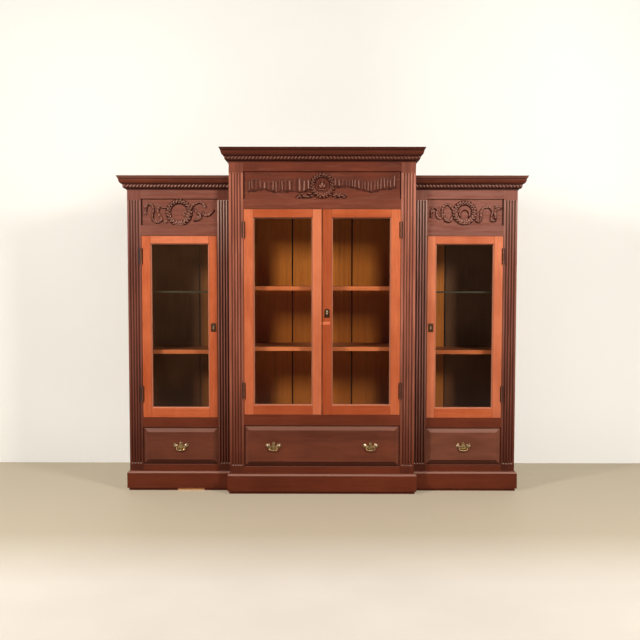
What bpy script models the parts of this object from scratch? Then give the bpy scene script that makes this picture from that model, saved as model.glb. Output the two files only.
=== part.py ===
"""Carved breakfront bookcase: a tall glazed centre between two lower glazed wings, each over one drawer.

Metres, +Z up. The front faces -Y, and the origin is on the floor under the middle of the overall box.
"""

import math

import bmesh
import bpy
from mathutils import Matrix, Vector

# Plan of the case
CASE_WIDTH = 1.900
CENTRE_WIDTH = 0.895
CENTRE_DEPTH = 0.340
BREAK_DEPTH = 0.064
CENTRE_PILASTER_WIDTH = 0.069
INNER_PILASTER_WIDTH = 0.0635
OUTER_PILASTER_WIDTH = 0.066
FACE_THICKNESS = 0.024
SIDE_THICKNESS = 0.020
BACK_THICKNESS = 0.012

# Heights from the floor up, centre section
CENTRE_PLINTH_HEIGHT = 0.101
CENTRE_BOTTOM_RAIL = 0.032
CENTRE_DRAWER_OPENING = 0.203
CENTRE_MIDDLE_RAIL = 0.051
CENTRE_DOOR_OPENING = 0.994
CENTRE_LOWER_FRIEZE_RAIL = 0.049
CENTRE_FIELD_HEIGHT = 0.128
CENTRE_UPPER_FRIEZE_RAIL = 0.046

# Heights from the floor up, wings
WING_PLINTH_HEIGHT = 0.099
WING_BOTTOM_RAIL = 0.029
WING_DRAWER_OPENING = 0.186
WING_MIDDLE_RAIL = 0.048
WING_DOOR_OPENING = 0.894
WING_LOWER_FRIEZE_RAIL = 0.051
WING_FIELD_HEIGHT = 0.127
WING_UPPER_FRIEZE_RAIL = 0.044

# Cornice moulding: base fillet, roped bead, neck, ovolo, quirk and sloping top fillet
CORNICE_PROJECTION = 0.043
CORNICE_HEIGHT = 0.065
CORNICE_BASE_PROJECTION = 0.004
CORNICE_BASE_HEIGHT = 0.005
BEAD_HEIGHT = 0.020
BEAD_SEAT = 0.008
NECK_HEIGHT = 0.002
NECK_PROJECTION = 0.021
TOP_FILLET_HEIGHT = 0.014
FILLET_SLOPE = 0.0055
CROWN_STEP = 0.008
QUIRK_HEIGHT = 0.0015
QUIRK_DEPTH = 0.003
TOP_LAP = 0.020
TOP_BOARD_DROP = 0.001

# Plinth skirting with an ovolo top and a recessed foot
PLINTH_PROJECTION = 0.012
FOOT_HEIGHT = 0.013
FOOT_PROJECTION = 0.004
OVOLO_RADIUS = 0.010
PLINTH_TOP_FILLET = 0.004

# Boards
RAIL_BACK = 0.027
BOTTOM_RAIL_DROP = 0.040
BOARD_THICKNESS = 0.018
SEAM_WIDTH = 0.003
SEAM_DEPTH = 0.003
CENTRE_SEAM_X = 0.155
WING_SEAM_X = 0.640

# Stopped flutes
FLUTE_COUNT = 4
FLUTE_PITCH = 0.0134
FLUTE_RADIUS = 0.0050
FLUTE_TOP_MARGIN = 0.006
FLUTE_BOTTOM_MARGIN = 0.004
FLUTE_SIDES = 10
FLUTE_RINGS = 5

# Carved frieze
FIELD_RECESS = 0.009
CENTRE_WREATH_RADIUS = 0.049
WING_WREATH_RADIUS = 0.053
WREATH_THICKNESS = 0.0085
WREATH_LEAVES = 20
WREATH_LEAF_SWELL = 0.0012
WREATH_SEGMENTS = 40
WREATH_SIDES = 6
WREATH_SINK = 0.001
RIBBON_SHARE = 0.0315
RIBBON_SINK = 0.0008
PLEAT_PITCH = 0.0150
PLEAT_DEPTH = 0.0055
PLEAT_FLOOR = 0.0020
PLEAT_POINT_COUNT = 2
PLEATED_HEIGHT = 0.046
PLEATED_REACH = 0.295
PLEATED_SWAY = 0.006
PLEATED_WAVE = 0.190
PLEATED_TUCK = 0.003
SPRAY_REACH = 0.062
SPRAY_DROP = 0.036
SPRAY_RADIUS = 0.0068
SPRAY_BALLS = 4

# Shelves
SHELF_THICKNESS = 0.020
GLASS_SHELF_THICKNESS = 0.008
SHELF_SETBACK = 0.064
SHELF_GROOVE = 0.006
CENTRE_UPPER_SHELF_TOP = 1.010
CENTRE_LOWER_SHELF_TOP = 0.713
WING_GLASS_SHELF_TOP = 0.985
WING_WOOD_SHELF_TOP = 0.692

# Doors
DOOR_THICKNESS = 0.022
DOOR_GAP = 0.0015
HINGE_GAP = 0.0024
CENTRE_OUTER_STILE = 0.050
CENTRE_MEETING_STILE = 0.050
WING_OUTER_STILE = 0.047
WING_INNER_STILE = 0.046
CENTRE_TOP_DOOR_RAIL = 0.044
CENTRE_BOTTOM_DOOR_RAIL = 0.049
WING_TOP_DOOR_RAIL = 0.042
WING_BOTTOM_DOOR_RAIL = 0.050
SIGHT_CHAMFER = 0.006
SIGHT_CHAMFER_DEPTH = 0.006
GLASS_THICKNESS = 0.003
GLASS_BITE = 0.007
GLASS_SETBACK = 0.011

# Hinges
HINGE_HEIGHT = 0.082
HINGE_KNUCKLES = 5
BARREL_RADIUS = 0.0042
BARREL_STANDOFF = 0.0004
BARREL_CHAMFER = 0.0010
KNUCKLE_GROOVE = 0.0007
BARREL_STEPS = 8
LEAF_THICKNESS = 0.0018
LEAF_DEPTH = 0.021
CENTRE_UPPER_HINGE_Z = 1.281
CENTRE_LOWER_HINGE_Z = 0.505
WING_UPPER_HINGE_Z = 1.157
WING_LOWER_HINGE_Z = 0.480

# Lock plates
LOCK_WIDTH = 0.026
LOCK_HEIGHT = 0.044
LOCK_PLATE_THICKNESS = 0.0015
KEY_TUBE_RADIUS = 0.0065
KEY_TUBE_LENGTH = 0.016
KEY_TUBE_SIDES = 16
KEYHOLE_RADIUS = 0.0028
KEYHOLE_SLOT_WIDTH = 0.0026
KEYHOLE_SLOT_HEIGHT = 0.0050
KEYHOLE_DEPTH = 0.012
CENTRE_LOCK_X = 0.0235
CENTRE_LOCK_Z = 0.881
WING_LOCK_Z = 0.808

# Drawers
DRAWER_GAP = 0.0012
DRAWER_FRONT_THICKNESS = 0.024
DRAWER_BEVEL = 0.023
DRAWER_RAISE = 0.009
DRAWER_SHOULDER = 0.0018
DRAWER_SHOULDER_RUN = 0.0006
DRAWER_SIDE = 0.012
DRAWER_BASE = 0.009
DRAWER_FRONT_LAP = 0.004
DRAWER_FRONT_LINING = 0.004
DRAWER_TOP_CLEARANCE = 0.014
DRAWER_BACK_CLEARANCE = 0.012

# Bail pulls
PULL_WIDTH = 0.076
PULL_HEIGHT = 0.040
PULL_THICKNESS = 0.0016
CENTRE_PULL_SHARE = 0.6235
POST_SPREAD = 0.051
POST_RISE = 0.003
POST_RADIUS = 0.0046
POST_LENGTH = 0.0115
POST_SIDES = 10
PIVOT_STANDOFF = 0.0068
BAIL_RADIUS = 0.0021
BAIL_DROP = 0.0235
BAIL_STUB = 0.0030
BAIL_RESOLUTION = 1

# Fits and modelling allowances
GAP = 0.0003
OVERRUN = 0.005
TINY = 0.001
ARC_STEPS = 6

# Ribbon scrolls of the wings: a side of the wreath, then shares of the way from its ring to the field's end
# and of the field's half height
LEFT_WING_RIBBON_SHARES = (
    (-1, (
        (0.87, -0.06), (0.85, 0.36), (0.75, 0.66), (0.62, 0.59), (0.57, 0.28), (0.61, -0.16),
        (0.57, -0.53), (0.44, -0.70), (0.30, -0.56), (0.27, -0.22), (0.32, 0.09), (0.27, 0.31),
        (0.16, 0.41), (0.04, 0.36), (-0.04, 0.36))),
    (1, (
        (0.00, 0.08), (0.06, 0.12), (0.16, 0.35), (0.26, 0.58), (0.40, 0.70), (0.54, 0.62),
        (0.57, 0.28), (0.51, -0.06), (0.62, -0.22), (0.76, -0.16), (0.85, 0.12), (0.90, 0.34))),
)
RIGHT_WING_RIBBON_SHARES = (
    (-1, (
        (0.86, -0.29), (0.85, 0.16), (0.75, 0.34), (0.63, 0.16), (0.65, -0.10), (0.57, -0.39),
        (0.44, -0.35), (0.44, 0.03), (0.41, 0.42), (0.26, 0.61), (0.12, 0.39), (0.06, 0.03),
        (0.00, 0.00))),
    (1, (
        (-0.09, -0.54), (0.01, -0.62), (0.11, -0.70), (0.19, -0.45), (0.18, 0.10), (0.27, 0.38),
        (0.46, 0.40), (0.58, 0.10), (0.55, -0.30), (0.58, -0.62), (0.71, -0.60), (0.72, -0.25),
        (0.69, 0.05), (0.76, 0.25), (0.89, 0.30))),
)

# Bat-wing backplate: right half of the outline, as shares of half the width and half the height
PLATE_OUTLINE_SHARES = (
    (0.00, 1.00), (0.11, 0.93), (0.20, 0.72), (0.17, 0.42), (0.24, 0.10), (0.35, 0.06), (0.46, 0.30),
    (0.56, 0.56), (0.72, 0.65), (0.89, 0.58), (1.00, 0.32), (0.98, 0.00), (0.87, -0.27), (0.70, -0.36),
    (0.56, -0.26), (0.45, -0.36), (0.46, -0.62), (0.34, -0.80), (0.20, -0.72), (0.10, -0.93), (0.00, -1.00),
)

# Bail: right half, as shares of the clear half width between the posts and of the drop
BAIL_SHARES = (
    (0.92, 0.00), (0.85, 0.07), (0.84, 0.20), (0.92, 0.38), (1.00, 0.56), (0.94, 0.74), (0.72, 0.90),
    (0.40, 0.98),
)

FRONT_Y = CORNICE_PROJECTION - (CENTRE_DEPTH + CORNICE_PROJECTION) / 2
BACK_Y = FRONT_Y + CENTRE_DEPTH
WING_FRONT_Y = FRONT_Y + BREAK_DEPTH
INNER_BACK_Y = BACK_Y - BACK_THICKNESS - GAP
HALF_CENTRE = CENTRE_WIDTH / 2
HALF_CASE = CASE_WIDTH / 2

WOOD = ("mahogany", (0.150, 0.038, 0.022, 1.0), 0.38, 0.0)
DOOR_WOOD = ("cherry_door_wood", (0.520, 0.130, 0.050, 1.0), 0.40, 0.0)
SHELF_WOOD = ("shelf_wood", (0.300, 0.100, 0.040, 1.0), 0.42, 0.0)
BOARD_WOOD = ("golden_interior_board", (0.360, 0.150, 0.045, 1.0), 0.55, 0.0)
GLASS = ("glass", (0.80, 0.86, 0.84, 1.0), 0.05, 0.0)
BRASS = ("aged_brass", (0.560, 0.420, 0.170, 1.0), 0.35, 1.0)
BRONZE = ("dark_bronze", (0.090, 0.045, 0.028, 1.0), 0.45, 1.0)


class Section:
    """One bay of the case: where it stands, and the levels of its openings from the floor up."""

    def __init__(self, name, outer, posts, boards, front_y, heights):
        self.name = name
        self.outer_x = outer
        self.post_x = posts
        self.board_x = boards
        self.front_y = front_y
        plinth, bottom_rail, drawer, middle_rail, door, lower_rail, field, upper_rail = heights
        self.plinth_top = plinth
        self.drawer_bottom = self.plinth_top + bottom_rail
        self.drawer_top = self.drawer_bottom + drawer
        self.door_bottom = self.drawer_top + middle_rail
        self.door_top = self.door_bottom + door
        self.field_bottom = self.door_top + lower_rail
        self.field_top = self.field_bottom + field
        self.cornice_bottom = self.field_top + upper_rail
        self.top = self.cornice_bottom + CORNICE_HEIGHT
        self.under_top = self.top - TOP_FILLET_HEIGHT - GAP


CENTRE_HEIGHTS = (
    CENTRE_PLINTH_HEIGHT, CENTRE_BOTTOM_RAIL, CENTRE_DRAWER_OPENING, CENTRE_MIDDLE_RAIL,
    CENTRE_DOOR_OPENING, CENTRE_LOWER_FRIEZE_RAIL, CENTRE_FIELD_HEIGHT, CENTRE_UPPER_FRIEZE_RAIL,
)
WING_HEIGHTS = (
    WING_PLINTH_HEIGHT, WING_BOTTOM_RAIL, WING_DRAWER_OPENING, WING_MIDDLE_RAIL,
    WING_DOOR_OPENING, WING_LOWER_FRIEZE_RAIL, WING_FIELD_HEIGHT, WING_UPPER_FRIEZE_RAIL,
)


def make_sections():
    """The centre and the two wings. posts is the opening between pilasters, boards the space inside."""
    centre_post = HALF_CENTRE - CENTRE_PILASTER_WIDTH
    centre_board = HALF_CENTRE - SIDE_THICKNESS
    inner_post = HALF_CENTRE + INNER_PILASTER_WIDTH
    outer_post = HALF_CASE - OUTER_PILASTER_WIDTH
    wing_board = HALF_CASE - SIDE_THICKNESS
    centre = Section(
        "centre", (-HALF_CENTRE, HALF_CENTRE), (-centre_post, centre_post), (-centre_board, centre_board),
        FRONT_Y, CENTRE_HEIGHTS)
    left = Section(
        "left", (-HALF_CASE, -HALF_CENTRE), (-outer_post, -inner_post), (-wing_board, -HALF_CENTRE),
        WING_FRONT_Y, WING_HEIGHTS)
    right = Section(
        "right", (HALF_CENTRE, HALF_CASE), (inner_post, outer_post), (HALF_CENTRE, wing_board),
        WING_FRONT_Y, WING_HEIGHTS)
    return left, centre, right


def clear_scene():
    for obj in list(bpy.data.objects):
        bpy.data.objects.remove(obj)


def make_collection(name):
    collection = bpy.data.collections.new(name)
    bpy.context.scene.collection.children.link(collection)
    return collection


def material(spec):
    """A Principled material from (name, colour, roughness, metallic), made once."""
    name, colour, roughness, metallic = spec
    found = bpy.data.materials.get(name)
    if found:
        return found
    made = bpy.data.materials.new(name)
    made.use_nodes = True
    shader = made.node_tree.nodes["Principled BSDF"]
    shader.inputs["Base Color"].default_value = colour
    shader.inputs["Roughness"].default_value = roughness
    shader.inputs["Metallic"].default_value = metallic
    made.diffuse_color = colour
    return made


def add_object(name, mesh, location, finish):
    """A finished part in the bookcase's collection, with the material of its finish."""
    obj = bpy.data.objects.new(name, mesh)
    obj.location = location
    PARTS.objects.link(obj)
    obj.data.materials.clear()
    obj.data.materials.append(material(finish))
    return obj


def add_helper(name, mesh, location):
    """A cutter or a shape to be joined, kept out of the render."""
    obj = bpy.data.objects.new(name, mesh)
    obj.location = location
    obj.hide_render = True
    obj.display_type = "WIRE"
    HELPERS.objects.link(obj)
    return obj


def mesh_from(bm, name, flat_faces=True):
    """Closes a bmesh into a mesh facing outwards. Faces that may be warped are split into triangles."""
    if not flat_faces:
        bmesh.ops.triangulate(bm, faces=bm.faces)
    bmesh.ops.recalc_face_normals(bm, faces=bm.faces)
    mesh = bpy.data.meshes.new(name)
    bm.to_mesh(mesh)
    bm.free()
    return mesh


def box_mesh(name, size):
    bm = bmesh.new()
    bmesh.ops.create_cube(bm, size=1.0)
    bmesh.ops.scale(bm, vec=size, verts=bm.verts)
    return mesh_from(bm, name)


def middle_and_size(x, y, z):
    low = Vector((min(x), min(y), min(z)))
    high = Vector((max(x), max(y), max(z)))
    return (low + high) / 2, high - low


def add_box(name, x, y, z, finish):
    middle, size = middle_and_size(x, y, z)
    return add_object(name, box_mesh(name, size), middle, finish)


def helper_box(name, x, y, z):
    middle, size = middle_and_size(x, y, z)
    return add_helper(name, box_mesh(name, size), middle)


def boolean(obj, other, operation):
    modifier = obj.modifiers.new(other.name, "BOOLEAN")
    modifier.operation = operation
    modifier.solver = "EXACT"
    modifier.object = other
    return obj


def cut(obj, *cutters):
    for cutter in cutters:
        boolean(obj, cutter, "DIFFERENCE")
    return obj


def join(obj, *others):
    for other in others:
        boolean(obj, other, "UNION")
    return obj


def arc(centre, radius, start, end, steps):
    """Points of a circular arc in a profile's plane, angles in degrees from outwards towards up."""
    points = []
    for step in range(steps + 1):
        angle = math.radians(start + (end - start) * step / steps)
        points.append((centre[0] + radius * math.cos(angle), centre[1] + radius * math.sin(angle)))
    return points


def sweep_mesh(name, profile, stations):
    """Carries a profile of (projection, height) points through mitred stations by repeated extrusion."""
    bm = bmesh.new()
    index_layer = bm.verts.layers.int.new("profile_index")
    first = []
    for index, point in enumerate(profile):
        vert = bm.verts.new(stations[0](*point))
        vert[index_layer] = index
        first.append(vert)
    end_cap = bm.faces.new(first)
    face = end_cap
    for place in stations[1:]:
        made = bmesh.ops.extrude_face_region(bm, geom=[face])["geom"]
        for vert in made:
            if isinstance(vert, bmesh.types.BMVert):
                vert.co = place(*profile[vert[index_layer]])
        if face is not end_cap:
            bmesh.ops.delete(bm, geom=[face], context="FACES_ONLY")
        face = next(item for item in made if isinstance(item, bmesh.types.BMFace))
    return mesh_from(bm, name, flat_faces=False)


def prism_mesh(name, outline, low_y, high_y):
    """A flat outline of (x, z) points, extruded along Y."""
    bm = bmesh.new()
    face = bm.faces.new([bm.verts.new((x, low_y, z)) for x, z in outline])
    made = bmesh.ops.extrude_face_region(bm, geom=[face])["geom"]
    moved = [item for item in made if isinstance(item, bmesh.types.BMVert)]
    bmesh.ops.translate(bm, vec=(0, high_y - low_y, 0), verts=moved)
    return mesh_from(bm, name)


def station(x, x_out, y, y_out):
    """One cross-section of a moulding: where a point of its profile lies, by its projection and height."""
    def place(projection, height):
        return Vector((x + x_out * projection, y + y_out * projection, height))
    return place


def stations_round(section, return_back_y):
    """Mitred stations of a moulding round a section's outer corners, dying against its neighbour."""
    left, right = section.outer_x
    front = section.front_y
    left_return = [station(left, -1, return_back_y, 0), station(left, -1, front, -1)]
    right_return = [station(right, 1, front, -1), station(right, 1, return_back_y, 0)]
    if section.name == "left":
        return left_return + [station(right - GAP, 0, front, -1)]
    if section.name == "right":
        return [station(left + GAP, 0, front, -1)] + right_return
    return left_return + right_return


def cornice_profile(section):
    base = section.cornice_bottom
    bead_low = base + CORNICE_BASE_HEIGHT
    bead_top = bead_low + BEAD_HEIGHT
    neck_top = bead_top + NECK_HEIGHT
    crown_top = section.top - TOP_FILLET_HEIGHT
    crown_outer = CORNICE_PROJECTION - CROWN_STEP
    points = [(GAP, base), (CORNICE_BASE_PROJECTION, base), (CORNICE_BASE_PROJECTION, bead_low)]
    bead_middle = (BEAD_SEAT, (bead_low + bead_top) / 2)
    points += arc(bead_middle, BEAD_HEIGHT / 2, -90, 90, ARC_STEPS)
    points += [(NECK_PROJECTION, bead_top), (NECK_PROJECTION, neck_top)]
    for step in range(1, ARC_STEPS + 1):
        angle = math.pi / 2 * step / ARC_STEPS
        out = NECK_PROJECTION + (crown_outer - NECK_PROJECTION) * math.sin(angle)
        up = neck_top + (crown_top - neck_top) * (1 - math.cos(angle))
        points.append((out, up))
    quirk = crown_outer - QUIRK_DEPTH
    points += [(quirk, crown_top), (quirk, crown_top + QUIRK_HEIGHT)]
    points += [(CORNICE_PROJECTION - FILLET_SLOPE, crown_top + QUIRK_HEIGHT)]
    points += [(CORNICE_PROJECTION, section.top - TOP_BOARD_DROP), (CORNICE_PROJECTION, section.top)]
    points += [(GAP, section.top)]
    return points


def add_cornice(section):
    """The lift-off cap: a mitred moulding and the dust board that it frames."""
    name = f"{section.name}_cornice"
    stations = stations_round(section, BACK_Y)
    cornice = add_object(name, sweep_mesh(name, cornice_profile(section), stations), (0, 0, 0), WOOD)
    left, right = section.outer_x
    left_edge = left + GAP + TINY if section.name == "right" else left - TOP_LAP
    right_edge = right - GAP - TINY if section.name == "left" else right + TOP_LAP
    board = helper_box(
        f"{name}_board", (left_edge, right_edge), (section.front_y - TOP_LAP, BACK_Y - TINY),
        (section.under_top + GAP, section.top - TOP_BOARD_DROP))
    return join(cornice, board)


def plinth_profile(section):
    top = section.plinth_top
    ovolo_low = top - PLINTH_TOP_FILLET - OVOLO_RADIUS
    ovolo_middle = (PLINTH_PROJECTION - OVOLO_RADIUS, ovolo_low)
    points = [(GAP, 0), (FOOT_PROJECTION, 0), (FOOT_PROJECTION, FOOT_HEIGHT)]
    points += [(PLINTH_PROJECTION, FOOT_HEIGHT)]
    points += arc(ovolo_middle, OVOLO_RADIUS, 0, 90, ARC_STEPS)
    points += [(PLINTH_PROJECTION - OVOLO_RADIUS, top), (GAP, top)]
    return points


def add_plinth(section):
    name = f"{section.name}_plinth"
    centre_return_back = WING_FRONT_Y - PLINTH_PROJECTION - GAP
    stations = stations_round(section, centre_return_back if section.name == "centre" else BACK_Y)
    return add_object(name, sweep_mesh(name, plinth_profile(section), stations), (0, 0, 0), WOOD)


def flute_cutter(name, length):
    """A rod with domed ends. The sphere has no ring on its equator, so its halves can be drawn apart."""
    bm = bmesh.new()
    bmesh.ops.create_uvsphere(bm, u_segments=FLUTE_SIDES, v_segments=FLUTE_RINGS, radius=FLUTE_RADIUS)
    stretch = length / 2 - FLUTE_RADIUS
    for vert in bm.verts:
        vert.co.z += math.copysign(stretch, vert.co.z)
    return mesh_from(bm, name)


def cut_flutes(pilaster, x, front_y, low_z, high_z):
    """Four stopped flutes centred on the pilaster's face."""
    mesh = flute_cutter(f"{pilaster.name}_flute", high_z - low_z)
    for index in range(FLUTE_COUNT):
        offset = (index - (FLUTE_COUNT - 1) / 2) * FLUTE_PITCH
        place = (x + offset, front_y, (low_z + high_z) / 2)
        flute = add_helper(f"{pilaster.name}_flute_{index}", mesh, place)
        cut(pilaster, flute)
    return pilaster


def flute_levels(section):
    return section.drawer_bottom + FLUTE_BOTTOM_MARGIN, section.field_top - FLUTE_TOP_MARGIN


def add_pilaster(name, section, x):
    depth = (section.front_y, section.front_y + FACE_THICKNESS)
    pilaster = add_box(name, x, depth, (0, section.under_top), WOOD)
    return cut_flutes(pilaster, sum(x) / 2, section.front_y, *flute_levels(section))


def groove(name, x, section, top, thickness):
    """A stopped housing in a side board for one end of a shelf, open at the back."""
    front = section.front_y + SHELF_SETBACK - GAP
    return helper_box(name, x, (front, BACK_Y), (top - thickness - GAP, top + GAP))


def add_case_side(section, sign):
    """An outer side board with the fluted pilaster glued to its front edge."""
    name = f"{section.name}_case_side"
    outer = sign * HALF_CASE
    board_x = (outer - sign * SIDE_THICKNESS, outer)
    face_x = (outer - sign * OUTER_PILASTER_WIDTH, outer)
    side = add_box(name, face_x, (section.front_y, INNER_BACK_Y), (0, section.under_top), WOOD)
    rebate = helper_box(
        f"{name}_rebate", (face_x[0] - sign * OVERRUN, board_x[0]),
        (section.front_y + FACE_THICKNESS, BACK_Y), (-OVERRUN, section.top))
    cut(side, rebate)
    housing_x = (board_x[0] - sign * OVERRUN, board_x[0] + sign * SHELF_GROOVE)
    cut(side, groove(f"{name}_glass_groove", housing_x, section, WING_GLASS_SHELF_TOP, GLASS_SHELF_THICKNESS))
    cut(side, groove(f"{name}_wood_groove", housing_x, section, WING_WOOD_SHELF_TOP, SHELF_THICKNESS))
    return cut_flutes(side, sum(face_x) / 2, section.front_y, *flute_levels(section))


def add_partition(section, centre, sign):
    """The upright between the centre and a wing, housed for the shelves on both of its faces."""
    name = f"{section.name}_partition"
    outer = sign * HALF_CENTRE
    inner = outer - sign * SIDE_THICKNESS
    front = centre.front_y + FACE_THICKNESS + GAP
    board = add_box(name, (inner, outer), (front, INNER_BACK_Y), (0, centre.under_top), WOOD)
    wing_x = (outer + sign * OVERRUN, outer - sign * SHELF_GROOVE)
    centre_x = (inner - sign * OVERRUN, inner + sign * SHELF_GROOVE)
    return cut(
        board,
        groove(f"{name}_glass_groove", wing_x, section, WING_GLASS_SHELF_TOP, GLASS_SHELF_THICKNESS),
        groove(f"{name}_wood_groove", wing_x, section, WING_WOOD_SHELF_TOP, SHELF_THICKNESS),
        groove(f"{name}_upper_groove", centre_x, centre, CENTRE_UPPER_SHELF_TOP, SHELF_THICKNESS),
        groove(f"{name}_lower_groove", centre_x, centre, CENTRE_LOWER_SHELF_TOP, SHELF_THICKNESS),
    )


def add_floor(name, section, top, rail_bottom):
    """A board across a section with its front rail: a block, hollowed below and notched round the pilasters."""
    front = section.front_y
    left, right = section.board_x
    post_left, post_right = section.post_x
    floor = add_box(name, (left + GAP, right - GAP), (front, INNER_BACK_Y), (rail_bottom, top), WOOD)
    hollow = helper_box(
        f"{name}_hollow", (left - OVERRUN, right + OVERRUN), (front + RAIL_BACK, BACK_Y),
        (rail_bottom - OVERRUN, top - BOARD_THICKNESS))
    notch_y = (front - OVERRUN, front + FACE_THICKNESS + GAP)
    notch_z = (rail_bottom - OVERRUN, top + OVERRUN)
    left_notch = helper_box(f"{name}_left_notch", (left - OVERRUN, post_left + GAP), notch_y, notch_z)
    right_notch = helper_box(f"{name}_right_notch", (post_right - GAP, right + OVERRUN), notch_y, notch_z)
    return cut(floor, hollow, left_notch, right_notch)


def seam_cutters(name, x, z):
    """Narrow cuts on both faces of the back where two of its boards meet."""
    inner = BACK_Y - BACK_THICKNESS
    across = (x - SEAM_WIDTH / 2, x + SEAM_WIDTH / 2)
    front = helper_box(f"{name}_front", across, (inner - OVERRUN, inner + SEAM_DEPTH), z)
    rear = helper_box(f"{name}_rear", across, (BACK_Y - SEAM_DEPTH, BACK_Y + OVERRUN), z)
    return front, rear


def add_back(left, centre):
    """The matchboarded back: one stepped outline behind all three sections."""
    step_z = left.under_top
    outline = (
        (-HALF_CASE, 0), (HALF_CASE, 0), (HALF_CASE, step_z), (HALF_CENTRE, step_z),
        (HALF_CENTRE, centre.under_top), (-HALF_CENTRE, centre.under_top), (-HALF_CENTRE, step_z),
        (-HALF_CASE, step_z))
    mesh = prism_mesh("back_boards", outline, BACK_Y - BACK_THICKNESS, BACK_Y)
    back = add_object("back_boards", mesh, (0, 0, 0), BOARD_WOOD)
    for sign in (-1, 1):
        for x, top in ((CENTRE_SEAM_X, centre.top), (WING_SEAM_X, left.top)):
            cut(back, *seam_cutters(f"seam_{sign}_{x:.3f}", sign * x, (-OVERRUN, top)))
    return back


def add_shelf(name, section, top, thickness, finish):
    left, right = section.board_x
    reach = SHELF_GROOVE - GAP
    y = (section.front_y + SHELF_SETBACK, INNER_BACK_Y)
    return add_box(name, (left - reach, right + reach), y, (top - thickness, top), finish)


def smooth_path(points, per_span):
    """Points along a Catmull-Rom curve through the given ones."""
    path = []
    count = len(points)
    for index in range(count - 1):
        before = Vector(points[max(index - 1, 0)])
        start = Vector(points[index])
        end = Vector(points[index + 1])
        after = Vector(points[min(index + 2, count - 1)])
        for step in range(per_span):
            t = step / per_span
            path.append(0.5 * (
                2 * start + (end - before) * t + (2 * before - 5 * start + 4 * end - after) * t * t
                + (3 * start - before - 3 * end + after) * t * t * t))
    path.append(Vector(points[-1]))
    return path


def tube_mesh(name, path, radius, resolution):
    """A round wire along a path, made from a curve with capped ends and welded into a mesh."""
    curve = bpy.data.curves.new(name, "CURVE")
    curve.dimensions = "3D"
    curve.bevel_depth = radius
    curve.bevel_resolution = resolution
    curve.use_fill_caps = True
    spline = curve.splines.new("POLY")
    spline.points.add(len(path) - 1)
    for point, place in zip(spline.points, path):
        point.co = (*place, 1.0)
    holder = bpy.data.objects.new(name, curve)
    HELPERS.objects.link(holder)
    graph = bpy.context.evaluated_depsgraph_get()
    mesh = bpy.data.meshes.new_from_object(holder.evaluated_get(graph))
    bpy.data.objects.remove(holder)
    bm = bmesh.new()
    bm.from_mesh(mesh)
    bmesh.ops.remove_doubles(bm, verts=bm.verts, dist=radius / 1000)
    return mesh_from(bm, name)


def wreath_mesh(name, radius):
    """A torus whose tube swells at each leaf, lying in the plane of the frieze."""
    bm = bmesh.new()
    rings = []
    for segment in range(WREATH_SEGMENTS):
        turn = 2 * math.pi * segment / WREATH_SEGMENTS
        thickness = WREATH_THICKNESS + WREATH_LEAF_SWELL * math.cos(WREATH_LEAVES * turn)
        ring = []
        for side in range(WREATH_SIDES):
            angle = 2 * math.pi * side / WREATH_SIDES
            out = radius + thickness * math.cos(angle)
            place = (out * math.cos(turn), thickness * math.sin(angle), out * math.sin(turn))
            ring.append(bm.verts.new(place))
        rings.append(ring)
    for segment in range(WREATH_SEGMENTS):
        here, there = rings[segment], rings[(segment + 1) % WREATH_SEGMENTS]
        for side in range(WREATH_SIDES):
            after = (side + 1) % WREATH_SIDES
            bm.faces.new((here[side], here[after], there[after], there[side]))
    return mesh_from(bm, name, flat_faces=False)


def pleated_mesh(name, x_from, x_to, middle_z, field_y):
    """A fluttering ribbon: an upright strip swept sideways, its face folding and its height swaying."""
    count = round(abs(x_to - x_from) / PLEAT_PITCH) * PLEAT_POINT_COUNT
    half = PLEATED_HEIGHT / 2

    def fold(step):
        x = x_from + (x_to - x_from) * step / count
        wave = (1 - math.cos(2 * math.pi * step / PLEAT_POINT_COUNT)) / 2
        face_y = field_y - PLEAT_FLOOR - PLEAT_DEPTH * wave
        rise = middle_z + PLEATED_SWAY * math.sin(2 * math.pi * x / PLEATED_WAVE)

        def place(depth_share, height):
            tucked = field_y + PLEATED_TUCK
            return Vector((x, tucked + (face_y - tucked) * depth_share, rise + height))
        return place

    profile = [(0, -half), (1, -half), (1, half), (0, half)]
    return sweep_mesh(name, profile, [fold(step) for step in range(count + 1)])


def ball_mesh(name, radius):
    bm = bmesh.new()
    bmesh.ops.create_icosphere(bm, subdivisions=1, radius=radius)
    return mesh_from(bm, name)


def frieze_body(section):
    """The board between the pilasters: a rail above, a rail below and a sunk field between them."""
    name = f"{section.name}_frieze"
    front = section.front_y
    left, right = section.post_x
    board = add_box(
        name, (left + GAP, right - GAP), (front, front + FACE_THICKNESS),
        (section.door_top, section.under_top), WOOD)
    field = helper_box(
        f"{name}_field", (left - OVERRUN, right + OVERRUN), (front - OVERRUN, front + FIELD_RECESS),
        (section.field_bottom, section.field_top))
    return cut(board, field)


def add_wing_frieze(section, ribbons):
    """A carved wing frieze: a leaf wreath between two ribbon scrolls."""
    board = frieze_body(section)
    left, right = section.post_x
    middle_x = (left + right) / 2
    middle_z = (section.field_bottom + section.field_top) / 2
    field_y = section.front_y + FIELD_RECESS
    ribbon_reach = (right - left) / 2 - WING_WREATH_RADIUS
    half_height = (section.field_top - section.field_bottom) / 2
    wreath = add_helper(
        f"{board.name}_wreath", wreath_mesh("wing_wreath", WING_WREATH_RADIUS),
        (middle_x, field_y - WREATH_SINK, middle_z))
    join(board, wreath)
    for side, shares in ribbons:
        points = [
            (middle_x + side * (WING_WREATH_RADIUS + out * ribbon_reach), field_y - RIBBON_SINK,
             middle_z + up * half_height)
            for out, up in shares]
        name = f"{board.name}_ribbon_{side}"
        tube = tube_mesh(name, smooth_path(points, 2), RIBBON_SHARE * ribbon_reach, 0)
        join(board, add_helper(name, tube, (0, 0, 0)))
    return board


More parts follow.
